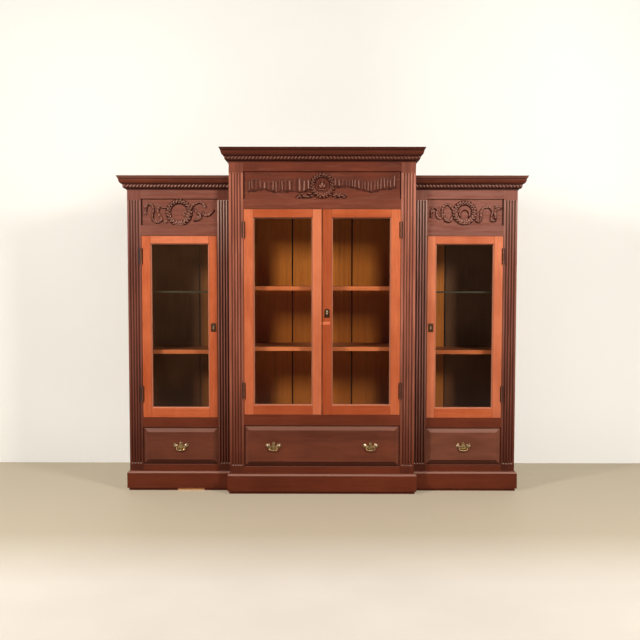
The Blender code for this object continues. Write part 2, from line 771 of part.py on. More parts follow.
def add_centre_frieze(section):
    """The carved centre frieze: a wreath, pleated ribbons to both sides and sprays of flowers below them."""
    board = frieze_body(section)
    middle_z = (section.field_bottom + section.field_top) / 2
    field_y = section.front_y + FIELD_RECESS
    wreath = add_helper(
        f"{board.name}_wreath", wreath_mesh("centre_wreath", CENTRE_WREATH_RADIUS),
        (0, field_y - WREATH_SINK, middle_z))
    join(board, wreath)
    for sign in (-1, 1):
        start = sign * CENTRE_WREATH_RADIUS
        end = sign * (CENTRE_WREATH_RADIUS + PLEATED_REACH)
        name = f"{board.name}_pleats_{sign}"
        join(board, add_helper(name, pleated_mesh(name, start, end, middle_z, field_y), (0, 0, 0)))
        for index in range(SPRAY_BALLS):
            x = sign * (CENTRE_WREATH_RADIUS + SPRAY_REACH * index / SPRAY_BALLS)
            place = (x, field_y - WREATH_SINK, middle_z - SPRAY_DROP - SPRAY_RADIUS * (index % 2))
            ball_name = f"{board.name}_flower_{sign}_{index}"
            join(board, add_helper(ball_name, ball_mesh(ball_name, SPRAY_RADIUS), place))
    return board


def add_door(name, section, x, stiles, rails, hinge_side):
    """A glazed door frame and its pane. hinge_side is -1 or 1, the side that its hinges are on."""
    low_x, high_x = min(x), max(x)
    low_z = section.door_bottom + DOOR_GAP
    high_z = section.door_top - DOOR_GAP
    front = section.front_y
    left_stile, right_stile = stiles if hinge_side < 0 else stiles[::-1]
    bottom_rail, top_rail = rails
    hinge_x = low_x - HINGE_GAP / 2 if hinge_side < 0 else high_x + HINGE_GAP / 2
    pivot = bpy.data.objects.new(f"{name}_pivot", None)
    pivot.location = (hinge_x, barrel_y(section), 0)
    PARTS.objects.link(pivot)
    frame = add_box(name, (low_x, high_x), (front, front + DOOR_THICKNESS), (low_z, high_z), DOOR_WOOD)
    sight_x = (low_x + left_stile, high_x - right_stile)
    sight_z = (low_z + bottom_rail, high_z - top_rail)
    sight = helper_box(f"{name}_sight", sight_x, (front - OVERRUN, front + DOOR_THICKNESS + OVERRUN), sight_z)
    pane_x = (sight_x[0] - GLASS_BITE, sight_x[1] + GLASS_BITE)
    pane_z = (sight_z[0] - GLASS_BITE, sight_z[1] + GLASS_BITE)
    pane_y = (front + GLASS_SETBACK, front + GLASS_SETBACK + GLASS_THICKNESS)
    slot = helper_box(
        f"{name}_slot", (pane_x[0] - GAP, pane_x[1] + GAP), (pane_y[0] - GAP, pane_y[1] + GAP),
        (pane_z[0] - GAP, pane_z[1] + GAP))
    cut(frame, sight, chamfer_cutter(f"{name}_chamfer", sight_x, sight_z, front), slot)
    pane = add_box(f"{name}_glass", pane_x, pane_y, pane_z, GLASS)
    for obj in (frame, pane):
        obj.parent = pivot
        obj.matrix_parent_inverse = Matrix.Translation(pivot.location).inverted()
    return frame


def chamfer_cutter(name, sight_x, sight_z, front):
    """A block whose front is wider than its back, so that it cuts a chamfer round the sight opening."""
    slope = SIGHT_CHAMFER / SIGHT_CHAMFER_DEPTH
    cutter = helper_box(name, sight_x, (front - OVERRUN, front + SIGHT_CHAMFER_DEPTH), sight_z)
    grow = slope * (SIGHT_CHAMFER_DEPTH + OVERRUN)
    for vert in cutter.data.vertices:
        if vert.co.y < 0:
            vert.co.x += math.copysign(grow, vert.co.x)
            vert.co.z += math.copysign(grow, vert.co.z)
    return cutter


def barrel_y(section):
    return section.front_y - BARREL_STANDOFF - BARREL_RADIUS


def barrel_mesh(name):
    """The knuckle barrel as a turned profile, grooved where the knuckles meet. Runs down its outer side."""
    half = HINGE_HEIGHT / 2
    profile = [(0, half), (BARREL_RADIUS - BARREL_CHAMFER, half), (BARREL_RADIUS, half - BARREL_CHAMFER)]
    for joint in range(1, HINGE_KNUCKLES):
        level = half - HINGE_HEIGHT * joint / HINGE_KNUCKLES
        profile += [
            (BARREL_RADIUS, level + KNUCKLE_GROOVE), (BARREL_RADIUS - KNUCKLE_GROOVE, level),
            (BARREL_RADIUS, level - KNUCKLE_GROOVE)]
    profile += [(BARREL_RADIUS, BARREL_CHAMFER - half), (BARREL_RADIUS - BARREL_CHAMFER, -half), (0, -half)]
    bm = bmesh.new()
    verts = [bm.verts.new((r, 0, z)) for r, z in profile]
    for upper, lower in zip(verts, verts[1:]):
        bm.edges.new((upper, lower))
    mesh = bpy.data.meshes.new(name)
    bm.to_mesh(mesh)
    bm.free()
    return mesh


def add_hinge(name, section, x, z):
    """A butt hinge let into the joint: its frame leaf fills the gap, and its barrel stands in front."""
    hinge = add_object(name, barrel_mesh(name), (x, barrel_y(section), z), BRONZE)
    turn = hinge.modifiers.new("turn", "SCREW")
    turn.steps = BARREL_STEPS
    turn.render_steps = BARREL_STEPS
    turn.use_merge_vertices = True
    turn.merge_threshold = BARREL_RADIUS / 1000
    half_leaf = HINGE_HEIGHT / 2 - BARREL_CHAMFER
    leaf = helper_box(
        f"{name}_leaf", (x - LEAF_THICKNESS / 2, x + LEAF_THICKNESS / 2),
        (barrel_y(section), section.front_y + LEAF_DEPTH), (z - half_leaf, z + half_leaf))
    return join(hinge, leaf)


def rod_mesh(name, radius, length, sides, axis):
    """A cylinder with capped ends along X, Y or Z, centred on its origin."""
    bm = bmesh.new()
    bmesh.ops.create_cone(
        bm, cap_ends=True, segments=sides, radius1=radius, radius2=radius, depth=length)
    turns = {
        "X": Matrix.Rotation(math.pi / 2, 3, "Y"), "Y": Matrix.Rotation(math.pi / 2, 3, "X"), "Z": Matrix()}
    bmesh.ops.rotate(bm, matrix=turns[axis].to_3x3(), verts=bm.verts)
    return mesh_from(bm, name)


def add_lock(name, door, section, x, z):
    """An escutcheon plate with a keyhole, and the key tube behind it in a hole bored through the stile."""
    front = section.front_y
    plate = add_box(
        name, (x - LOCK_WIDTH / 2, x + LOCK_WIDTH / 2), (front - GAP - LOCK_PLATE_THICKNESS, front - GAP),
        (z - LOCK_HEIGHT / 2, z + LOCK_HEIGHT / 2), BRONZE)
    tube_y = front - GAP - LOCK_PLATE_THICKNESS / 2 + KEY_TUBE_LENGTH / 2
    tube = add_helper(
        f"{name}_tube", rod_mesh(name, KEY_TUBE_RADIUS, KEY_TUBE_LENGTH, KEY_TUBE_SIDES, "Y"), (x, tube_y, z))
    keyhole_y = front - LOCK_PLATE_THICKNESS - OVERRUN + KEYHOLE_DEPTH / 2
    keyhole = add_helper(
        f"{name}_keyhole", rod_mesh(name, KEYHOLE_RADIUS, KEYHOLE_DEPTH, POST_SIDES, "Y"), (x, keyhole_y, z))
    slot = helper_box(
        f"{name}_key_slot", (x - KEYHOLE_SLOT_WIDTH / 2, x + KEYHOLE_SLOT_WIDTH / 2),
        (keyhole_y - KEYHOLE_DEPTH / 2, keyhole_y + KEYHOLE_DEPTH / 2),
        (z - KEYHOLE_RADIUS / 2 - KEYHOLE_SLOT_HEIGHT, z))
    join(plate, tube)
    cut(plate, keyhole, slot)
    bore_radius = (KEY_TUBE_RADIUS + GAP) / math.cos(math.pi / KEY_TUBE_SIDES)
    bore = add_helper(
        f"{name}_bore", rod_mesh(name, bore_radius, DOOR_THICKNESS + 2 * OVERRUN, KEY_TUBE_SIDES, "Y"),
        (x, front + DOOR_THICKNESS / 2, z))
    cut(door, bore)
    plate.parent = door.parent
    plate.matrix_parent_inverse = Matrix.Translation(door.parent.location).inverted()
    return plate


def raised_front_mesh(name, size):
    """A drawer front: the outer face is inset twice and drawn forward, as a bevel and a small shoulder."""
    bm = bmesh.new()
    bmesh.ops.create_cube(bm, size=1.0)
    bmesh.ops.scale(bm, vec=size, verts=bm.verts)
    face = min(bm.faces, key=lambda item: item.calc_center_median().y)
    for run, rise in ((DRAWER_BEVEL, DRAWER_RAISE - DRAWER_SHOULDER), (DRAWER_SHOULDER_RUN, DRAWER_SHOULDER)):
        bmesh.ops.inset_region(bm, faces=[face], thickness=run, use_even_offset=True)
        bmesh.ops.translate(bm, vec=(0, -rise, 0), verts=face.verts)
    return mesh_from(bm, name)


def add_drawer(section):
    """A drawer: raised-field front lapped over an open tray that slides on the board below."""
    name = f"{section.name}_drawer"
    left, right = section.post_x
    front = section.front_y
    face_x = (left + DRAWER_GAP, right - DRAWER_GAP)
    face_z = (section.drawer_bottom + DRAWER_GAP, section.drawer_top - DRAWER_GAP)
    middle, size = middle_and_size(face_x, (front + DRAWER_RAISE, front + DRAWER_FRONT_THICKNESS), face_z)
    drawer = add_object(name, raised_front_mesh(name, size), middle, WOOD)
    tray_back = INNER_BACK_Y - DRAWER_BACK_CLEARANCE
    tray_y = (front + DRAWER_FRONT_THICKNESS - DRAWER_FRONT_LAP, tray_back)
    tray_x = (face_x[0] + DRAWER_GAP, face_x[1] - DRAWER_GAP)
    tray_z = (section.drawer_bottom + GAP, section.drawer_top - DRAWER_TOP_CLEARANCE)
    tray = helper_box(f"{name}_tray", tray_x, tray_y, tray_z)
    cavity = helper_box(
        f"{name}_cavity", (tray_x[0] + DRAWER_SIDE, tray_x[1] - DRAWER_SIDE),
        (front + DRAWER_FRONT_THICKNESS + DRAWER_FRONT_LINING, tray_back - DRAWER_SIDE),
        (tray_z[0] + DRAWER_BASE, tray_z[1] + OVERRUN))
    cut(tray, cavity)
    return join(drawer, tray)


def mirrored(half):
    """A closed outline from its right half, which runs from the top of the middle line to its bottom."""
    return list(half) + [(-x, z) for x, z in reversed(half[1:-1])]


def add_pull(name, section, x, z):
    """A bat-wing backplate with two bored posts, and the bail that swings in them."""
    face_y = section.front_y - GAP
    half = [(share_x * PULL_WIDTH / 2, share_z * PULL_HEIGHT / 2)
            for share_x, share_z in PLATE_OUTLINE_SHARES]
    plate = add_object(
        f"{name}_plate", prism_mesh(name, mirrored(half), -PULL_THICKNESS, 0), (x, face_y, z), BRASS)
    pivot_y = face_y - PULL_THICKNESS - PIVOT_STANDOFF
    pivot_z = z + POST_RISE
    post_y = face_y - PULL_THICKNESS / 2 - POST_LENGTH / 2
    bore_radius = (BAIL_RADIUS + GAP) / math.cos(math.pi / POST_SIDES)
    for sign in (-1, 1):
        post_x = x + sign * POST_SPREAD / 2
        post_name = f"{name}_post_{sign}"
        post = add_helper(post_name, rod_mesh(post_name, POST_RADIUS, POST_LENGTH, POST_SIDES, "Y"),
                          (post_x, post_y, pivot_z))
        join(plate, post)
    for sign in (-1, 1):
        bore_name = f"{name}_bore_{sign}"
        bore_x = x + sign * (POST_SPREAD / 2 - POST_RADIUS)
        bore = add_helper(
            bore_name, rod_mesh(bore_name, bore_radius, 2 * (POST_RADIUS + BAIL_STUB), POST_SIDES, "X"),
            (bore_x, pivot_y, pivot_z))
        cut(plate, bore)
    bail = add_object(
        f"{name}_bail", tube_mesh(f"{name}_bail", bail_path(), BAIL_RADIUS, BAIL_RESOLUTION),
        (x, pivot_y, pivot_z), BRASS)
    return plate, bail


def bail_path():
    """The bail's centre line from one stub in its post, round the grip, to the other."""
    post_side = POST_SPREAD / 2
    clear_half = post_side - POST_RADIUS
    right = [(post_side + BAIL_STUB - GAP, 0, 0), (clear_half, 0, 0)]
    for out, down in BAIL_SHARES:
        right.append((out * clear_half, 0, -down * BAIL_DROP))
    bottom = [(0, 0, -BAIL_DROP)]
    left = [(-x, y, z) for x, y, z in reversed(right)]
    return smooth_path(right + bottom + left, 2)


def make_case(left, centre, right):
    for section, sign in ((left, -1), (right, 1)):
        add_case_side(section, sign)
        add_partition(section, centre, sign)
        post = sign * HALF_CENTRE
        reach = (post + sign * GAP, post + sign * INNER_PILASTER_WIDTH)
        add_pilaster(f"{section.name}_inner_pilaster", section, reach)
        add_pilaster(f"centre_{section.name}_pilaster", centre, (post, post - sign * CENTRE_PILASTER_WIDTH))
    for section in (left, centre, right):
        add_cornice(section)
        add_plinth(section)
        add_floor(f"{section.name}_bottom_board", section, section.drawer_bottom,
                  section.drawer_bottom - section_rail(section) - BOTTOM_RAIL_DROP)
        add_floor(f"{section.name}_compartment_floor", section, section.door_bottom, section.drawer_top)
    add_wing_frieze(left, LEFT_WING_RIBBON_SHARES)
    add_wing_frieze(right, RIGHT_WING_RIBBON_SHARES)
    add_centre_frieze(centre)
    add_back(left, centre)


def section_rail(section):
    return section.drawer_bottom - section.plinth_top


def make_shelves(left, centre, right):
    add_shelf("centre_upper_shelf", centre, CENTRE_UPPER_SHELF_TOP, SHELF_THICKNESS, SHELF_WOOD)
    add_shelf("centre_lower_shelf", centre, CENTRE_LOWER_SHELF_TOP, SHELF_THICKNESS, SHELF_WOOD)
    for section in (left, right):
        add_shelf(f"{section.name}_glass_shelf", section, WING_GLASS_SHELF_TOP, GLASS_SHELF_THICKNESS, GLASS)
        add_shelf(f"{section.name}_wood_shelf", section, WING_WOOD_SHELF_TOP, SHELF_THICKNESS, SHELF_WOOD)


def make_doors(left, centre, right):
    centre_rails = (CENTRE_BOTTOM_DOOR_RAIL, CENTRE_TOP_DOOR_RAIL)
    wing_rails = (WING_BOTTOM_DOOR_RAIL, WING_TOP_DOOR_RAIL)
    centre_stiles = (CENTRE_OUTER_STILE, CENTRE_MEETING_STILE)
    wing_stiles = (WING_OUTER_STILE, WING_INNER_STILE)
    for sign, side in ((-1, "left"), (1, "right")):
        post = centre.post_x[0] if sign < 0 else centre.post_x[1]
        door = add_door(
            f"centre_{side}_door", centre, (post - sign * HINGE_GAP, sign * DOOR_GAP / 2), centre_stiles,
            centre_rails, sign)
        for level, z in (("upper", CENTRE_UPPER_HINGE_Z), ("lower", CENTRE_LOWER_HINGE_Z)):
            add_hinge(f"centre_{side}_{level}_hinge", centre, post - sign * HINGE_GAP / 2, z)
        if sign > 0:
            add_lock("centre_lock", door, centre, CENTRE_LOCK_X, CENTRE_LOCK_Z)
    for sign, section in ((-1, left), (1, right)):
        outer, inner = section.post_x if sign < 0 else section.post_x[::-1]
        door = add_door(
            f"{section.name}_door", section, (outer - sign * HINGE_GAP, inner + sign * DOOR_GAP), wing_stiles,
            wing_rails, sign)
        for level, z in (("upper", WING_UPPER_HINGE_Z), ("lower", WING_LOWER_HINGE_Z)):
            add_hinge(f"{section.name}_{level}_hinge", section, outer - sign * HINGE_GAP / 2, z)
        lock_x = inner + sign * (DOOR_GAP + (WING_INNER_STILE - SIGHT_CHAMFER) / 2)
        add_lock(f"{section.name}_lock", door, section, lock_x, WING_LOCK_Z)


def make_drawers(left, centre, right):
    for section in (left, centre, right):
        drawer = add_drawer(section)
        middle_x = sum(section.post_x) / 2
        middle_z = (section.drawer_bottom + section.drawer_top) / 2
        if section.name == "centre":
            reach = CENTRE_PULL_SHARE * section.post_x[1]
            places = (("centre_left_pull", -reach), ("centre_right_pull", reach))
        else:
            places = ((f"{section.name}_pull", middle_x),)
        for name, x in places:
            for piece in add_pull(name, section, x, middle_z):
                piece.parent = drawer
                piece.matrix_parent_inverse = Matrix.Translation(drawer.location).inverted()


clear_scene()
PARTS = make_collection("breakfront_bookcase")
HELPERS = make_collection("cutters")
SECTIONS = make_sections()
make_case(*SECTIONS)
make_shelves(*SECTIONS)
make_doors(*SECTIONS)
make_drawers(*SECTIONS)
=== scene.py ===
"""Looks for a carved breakfront bookcase: woods, glass, carving, metalwork, room and camera.

All lengths are in metres. X runs to the right, Y away from the viewer and Z up, as in the frame.
"""

import math

import bmesh
import bpy
import numpy as np
from bpy.props import FloatProperty, FloatVectorProperty, IntProperty, PointerProperty
from bpy.types import Operator, Panel, PropertyGroup
from mathutils import Matrix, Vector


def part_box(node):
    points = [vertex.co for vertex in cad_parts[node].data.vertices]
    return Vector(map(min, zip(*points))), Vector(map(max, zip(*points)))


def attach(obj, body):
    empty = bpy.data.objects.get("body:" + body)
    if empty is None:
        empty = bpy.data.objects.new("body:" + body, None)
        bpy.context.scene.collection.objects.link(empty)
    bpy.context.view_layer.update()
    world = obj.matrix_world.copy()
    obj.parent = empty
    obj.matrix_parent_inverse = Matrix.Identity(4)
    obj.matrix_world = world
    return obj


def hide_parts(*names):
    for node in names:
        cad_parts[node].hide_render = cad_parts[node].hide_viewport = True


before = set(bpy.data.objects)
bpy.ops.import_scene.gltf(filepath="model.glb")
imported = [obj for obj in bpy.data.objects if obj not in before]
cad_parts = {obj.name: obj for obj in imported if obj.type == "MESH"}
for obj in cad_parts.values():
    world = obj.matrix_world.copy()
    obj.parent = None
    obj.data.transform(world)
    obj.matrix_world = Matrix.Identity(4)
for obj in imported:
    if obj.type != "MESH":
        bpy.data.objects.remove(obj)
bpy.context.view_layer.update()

bl_info = {
    "name": "Breakfront bookcase looks",
    "version": (1, 0, 0),
    "blender": (4, 5, 0),
    "location": "View3D > Sidebar > Bookcase",
    "description": "Finishes, carving, metalwork and room for a carved breakfront bookcase",
    "category": "Object",
}

FRONT = np.array((0.0, -1.0, 0.0))
UP = np.array((0.0, 0.0, 1.0))
FACING = np.stack([(1.0, 0.0, 0.0), UP, FRONT], -1)
# Dark red-brown of old polish in hollows, also used as painted shade under things, beside the carving and in the
# cornices' steps
DEEP_RED = (0.046, 0.0085, 0.0040)

SECTIONS = ("left", "centre", "right")
DOORS = ("centre_left", "centre_right", "left", "right")
FIELD_LEVELS = {"left": (1.307, 1.434), "centre": (1.430, 1.558), "right": (1.307, 1.434)}
CORNICE_BASE = {"left": 1.478, "centre": 1.604, "right": 1.478}

# Lengths of the carving and the pulls: the friezes' sunk field, the rope on the cornices, a wreath's ring, the
# posts of a pull and half its bail
FIELD_DEPTH = 0.009
ROPE_SEAT = 0.0085
ROPE_RISE = 0.0172
ROPE_RADIUS = 0.0108
ROPE_CLIMB = 0.0060
CORNICE_REACH = 0.043
WREATH_TUBE = 0.0085
POST_ASIDE = 0.0255
GRIP_HALF = 0.0209

# Where the lamps aim, their colour, where the camera stands, and its turns in degrees: down, to the right and about
# its own axis
LAMP_AIM = (0.0, 0.0, 0.85)
LAMP_COLOUR = (1.0, 0.97, 0.93)
CAMERA_PLACE = (0.002, -4.0005, 1.053)
CAMERA_TURNS = (3.04, -0.18, 0.06)


def mm(rows):
    return np.array(rows) / 1000


# Scrolling ribbons of the wings: points (across, up) from the middle of the field
SCROLLS = {
    "left": (
        mm(((-50, 22), (-75, 24), (-93, 26), (-101, 2), (-88, -30), (-98, -45), (-112, -47), (-131, -30),
            (-126, 8), (-128, 31), (-141, 41), (-156, 34), (-162, 0))),
        mm(((52, 14), (66, 30), (85, 45), (107, 47), (128, 32))),
        mm(((74, 18), (90, -3), (102, -18), (96, -34), (75, -40))),
        mm(((116, 2), (126, -14), (148, -12), (169, 10)))),
    "right": (
        mm(((-58, 2), (-69, 25), (-88, 40), (-108, 27), (-112, 2), (-112, -22), (-128, -26), (-139, -8),
            (-137, 12), (-152, 22), (-166, 10), (-168, -18))),
        mm(((-66, -20), (-75, -42), (-96, -40), (-100, -20))),
        mm(((54, -42), (67, -44), (77, -28), (76, 6), (90, 24), (113, 26), (130, 6), (127, -20), (130, -40),
            (146, -38))),
        mm(((148, -30), (146, 4), (154, 16), (171, 20)))),
}

# Bunches of curled leaves on the wings' ribbons, as (across, up) from the field's middle
BUNCHES = {
    "left": mm(((-66.7, -47), (-115.5, -44.5), (93.4, -26.7), (124.5, 29), (129, -13.3), (-164.5, -4.5), (-163, 26))),
    "right": mm(((-87, -37), (58, -36), (127, -34), (-156, 6), (-105, -14), (150, 26))),
}

# Fluttering ribbons of the centre: where each fold stands proud, and the ribbon's lower and upper edge along it
LEFT_FOLDS = mm((-349, -337, -315, -297, -276, -256, -234, -221, -205, -192, -176, -156, -134, -108, -86, -66))
LEFT_EDGES = mm(((-352, -30, 22), (-320, -25, 30), (-270, -19, 15), (-225, -33, 24), (-176, -30, 24), (-134, -26, 26),
                 (-110, -34, 27), (-62, -24, 24)))
RIGHT_FOLDS = mm((62, 81, 98, 117, 130, 145, 156, 175, 194, 204, 220, 233, 252, 266, 281, 297, 312, 326, 345))
RIGHT_EDGES = mm(((58, -8, 32), (117, -8, 30), (155, -10, 27), (194, -24, 24), (233, -31, 18), (262, -27, 22),
                  (281, -19, 30), (326, -16, 37), (352, -12, 46)))

# How far the left stile, right stile, top rail and bottom rail of each door have darkened, or faded below 0
DOOR_TONES = {
    "left": (0.02, 0.22, -0.22, 0.00), "centre_left": (-0.14, -0.30, 0.30, 0.52),
    "centre_right": (0.58, -0.08, 0.24, 0.50), "right": (-0.40, -0.32, -0.18, 0.04),
}

# Pilasters: the depth where old polish and painted shade start in the flutes, its share, the rubbed colour (wear and
# painted sheen), its share between and above the flutes, the share of a painted highlight near the flutes' top, and how
# dark the block under them is
FLUTED = {
    "centre left": (0.0024, 0.72, (0.490, 0.160, 0.095), 0.64, 0.16, 0.00, 0.15),
    "centre right": (0.0024, 0.66, (0.500, 0.172, 0.106), 0.72, 0.22, 0.06, 0.15),
    "left outer": (0.0024, 0.85, (0.290, 0.105, 0.075), 0.46, 0.30, 0.13, 0.50),
    "left inner": (0.0004, 1.00, (0.520, 0.230, 0.160), 0.42, 0.05, 0.85, 0.55),
    "right outer": (0.0018, 0.88, (0.350, 0.135, 0.090), 0.50, 0.50, 0.24, 0.45),
    "right inner": (0.0006, 0.95, (0.560, 0.270, 0.200), 0.54, 0.25, 0.70, 0.55),
}

# Carving: its faded colour, the share of that below and above two levels (a smaller share above is painted shade
# under the cornice), the levels, the crests' colour and share (wear and painted highlight)
CARVED = {
    "left carved": ((0.285, 0.104, 0.070), 0.48, 0.46, (1.30, 1.45), (0.540, 0.310, 0.230), 0.72),
    "right carved": ((0.330, 0.132, 0.096), 0.56, 0.62, (1.30, 1.45), (0.560, 0.320, 0.240), 0.76),
    "centre carved": ((0.240, 0.072, 0.041), 0.36, 0.00, (1.41, 1.58), (0.430, 0.215, 0.150), 0.62),
    "wing rope": ((0.300, 0.110, 0.070), 0.30, 0.15, (1.49, 1.61), (0.410, 0.212, 0.156), 0.88),
    "centre rope": ((0.300, 0.110, 0.070), 0.30, 0.15, (1.49, 1.61), (0.270, 0.118, 0.078), 0.85),
}

# How faded a section's drawer is, how far its drawer's ledges are painted paler as dust and painted sheen, and how
# old its cornice's polish is
SECTION_AGES = {"left": (0.22, 0.50, 0.15), "centre": (0.18, 0.50, 0.50), "right": (0.50, 0.62, 0.04)}

# Pull plate: half its outline as (across, lower edge, upper edge), in shares of half the width and half the height
PLATE_EDGES = np.array((
    (0, -100, 100), (5, -99, 98), (10, -93, 92), (15, -80, 82), (19, -73, 68), (21, -72, 42), (24, -74, 16),
    (30, -79, 5), (36, -81, 7), (42, -74, 20), (45.5, -58, 33), (47.5, -36, 40), (52, -27, 50), (58, -25, 60),
    (66, -32, 66), (74, -37, 68), (82, -33, 66), (89, -24, 60), (95, -10, 48), (99, 6, 34))) / 100
# Bail: half its route, from a post to its middle, as (out, down) in shares of its half length and its drop
BAIL_ROUTE = np.array((
    (100, 0), (90, -1), (83, 8), (84, 21), (93, 38), (100, 56), (95, 74), (74, 90), (40, 98), (0, 100))) / 100


def colour_setting(name, description, default):
    return FloatVectorProperty(
        name=name, description=description, default=default, size=3, min=0.0, max=1.0, subtype="COLOR")


def length_setting(name, description, default):
    return FloatProperty(name=name, description=description, default=default, min=0.0001, unit="LENGTH")


def angle_setting(name, description, degrees):
    return FloatProperty(name=name, description=description, default=math.radians(degrees), subtype="ANGLE")


class BookcaseWoods(PropertyGroup):
    """Colours of the woods."""

    carcass: colour_setting("Carcass", "Mahogany of the case, where light grain shows", (0.172, 0.034, 0.0125))
    carcass_grain: colour_setting("Carcass grain", "Dark grain of the case", (0.078, 0.0135, 0.0045))
    # Faded polish and dust, and painted sheen, on upward faces, the drawers' side bevels and the wings' cornice fillets
    carcass_dust_and_sheen: colour_setting("Carcass ledges", "Faded polish on upward faces", (0.340, 0.165, 0.120))
    # Painted shade on the doors' faces that look down
    carcass_underside_shade: colour_setting("Carcass hollows", "Old polish in flutes and carving", (0.022, 0.007, 0.005))
    door: colour_setting("Doors", "Door frames, where light grain shows", (0.680, 0.168, 0.060))
    door_grain: colour_setting("Door grain", "Dark grain of the door frames", (0.480, 0.092, 0.026))
    patch: colour_setting("Patch", "New wood let in under the centre lock", (0.800, 0.235, 0.105))
    patch_grain: colour_setting("Patch grain", "Dark grain of the patch", (0.640, 0.150, 0.060))
    # The shelf colours are painted brighter than the wood, standing for the light on the shelves' front edges
    shelf: colour_setting("Shelves", "Shelves, where light grain shows", (0.850, 0.235, 0.085))
    shelf_grain: colour_setting("Shelf grain", "Dark grain of the shelves", (0.600, 0.140, 0.045))
    interior: colour_setting("Back boards", "Interior boards, where light grain shows", (1.000, 0.325, 0.055))
    interior_grain: colour_setting("Back board grain", "Dark grain of the boards", (0.900, 0.255, 0.036))
    outer_board: colour_setting("Outer back boards", "Dark boards behind the wings", (0.150, 0.062, 0.026))
    tray: colour_setting("Drawer trays", "Unpolished wood inside the drawers", (0.520, 0.330, 0.180))


class BookcaseFittings(PropertyGroup):
    """Colours of the metal and glass, and sizes of the fittings."""

    brass: colour_setting("Brass", "Rubbed brass of the pulls", (0.580, 0.410, 0.200))
    tarnish: colour_setting("Tarnish", "Brown tarnish in the brass", (0.110, 0.060, 0.025))
    bronze: colour_setting("Bronze", "Lock plates", (0.095, 0.045, 0.024))
    hinge_bronze: colour_setting("Hinge bronze", "Hinges, rubbed to the colour of the wood", (0.300, 0.120, 0.070))
    glass_edge: colour_setting("Glass edge", "Sawn edge of the glass shelves", (0.062, 0.062, 0.040))
    plate_thickness: length_setting("Plate thickness", "Thickness of a pull's backplate", 0.0024)
    bail_radius: length_setting("Bail radius", "Radius of a bail at its ends", 0.0021)
    bail_swell: length_setting("Bail swell", "How much thicker a bail is at its middle", 0.0011)


class BookcaseCarving(PropertyGroup):
    """Sizes of the carving."""

    rope_pitch: length_setting("Rope pitch", "Distance from strand to strand along the cornice bead", 0.0162)
    rope_relief: length_setting("Rope relief", "Height of a strand over the groove beside it", 0.0042)
    wreath_leaves: IntProperty(name="Wreath leaves", description="Leaves in each row of a wreath", default=22, min=6)
    leaf_length: length_setting("Leaf length", "Length of a wreath leaf", 0.0165)
    ribbon_width: length_setting("Ribbon width", "Width of a wing's ribbon", 0.0140)
    fold_relief: length_setting("Fold relief", "Height of the folds in the centre ribbons", 0.0080)


class BookcaseRoom(PropertyGroup):
    """Room, lamps and camera."""

    floor: colour_setting("Floor", "Pale floor", (0.660, 0.600, 0.520))
    wall: colour_setting("Wall", "Off-white wall", (0.860, 0.835, 0.775))
    wall_distance: length_setting("Wall", "Where the wall stands behind the object", 0.5045)
    lamp_power: FloatProperty(name="Lamp power", description="Power of each soft lamp", default=74.0, unit="POWER")
    lamp_width: length_setting("Lamp width", "Width of each soft lamp", 0.36)
    lamp_height: length_setting("Lamp height", "Height of each soft lamp", 0.80)
    lamp_distance: length_setting("Lamp distance", "From the object to each lamp", 3.4)
    left_turn: angle_setting("Left lamp turn", "Angle of the left lamp from straight in front", 46.0)
    right_turn: angle_setting("Right lamp turn", "Angle of the right lamp from straight in front", 43.0)
    lamp_lift: angle_setting("Lamp lift", "Angle of each lamp above the middle of the object", 25.0)
    ambient: FloatProperty(name="Ambient", description="Light from the whole room", default=0.11, min=0.0)
    lens: FloatProperty(name="Lens", description="Focal length in millimetres", default=45.0, min=1.0)


class Value:
    """An output of a node that can be reckoned with: each sign adds a maths node."""

    def __init__(self, recipe, socket):
        self.recipe, self.socket = recipe, socket

    def by(self, operation, *others):
        return self.recipe.value("ShaderNodeMath", dict(enumerate((self, *others))), operation=operation)

    def __add__(self, other):
        return self.by("ADD", other)

    def __sub__(self, other):
        return self.by("SUBTRACT", other)

    def __mul__(self, other):
        return self.by("MULTIPLY", other)

    def __gt__(self, other):
        return self.by("GREATER_THAN", other)

    def __lt__(self, other):
        return self.by("LESS_THAN", other)

    def __abs__(self):
        return self.by("ABSOLUTE")

    def within(self, low, high):
        """0 below low, 1 above high and a straight ramp between; low may be the larger one."""
        return self.recipe.value("ShaderNodeMapRange", {"Value": self, "From Min": low, "From Max": high})


def solid(colour):
    return colour if isinstance(colour, Value) else (*colour, 1.0)


def darker(colour, share):
    return tuple(share * part for part in colour)


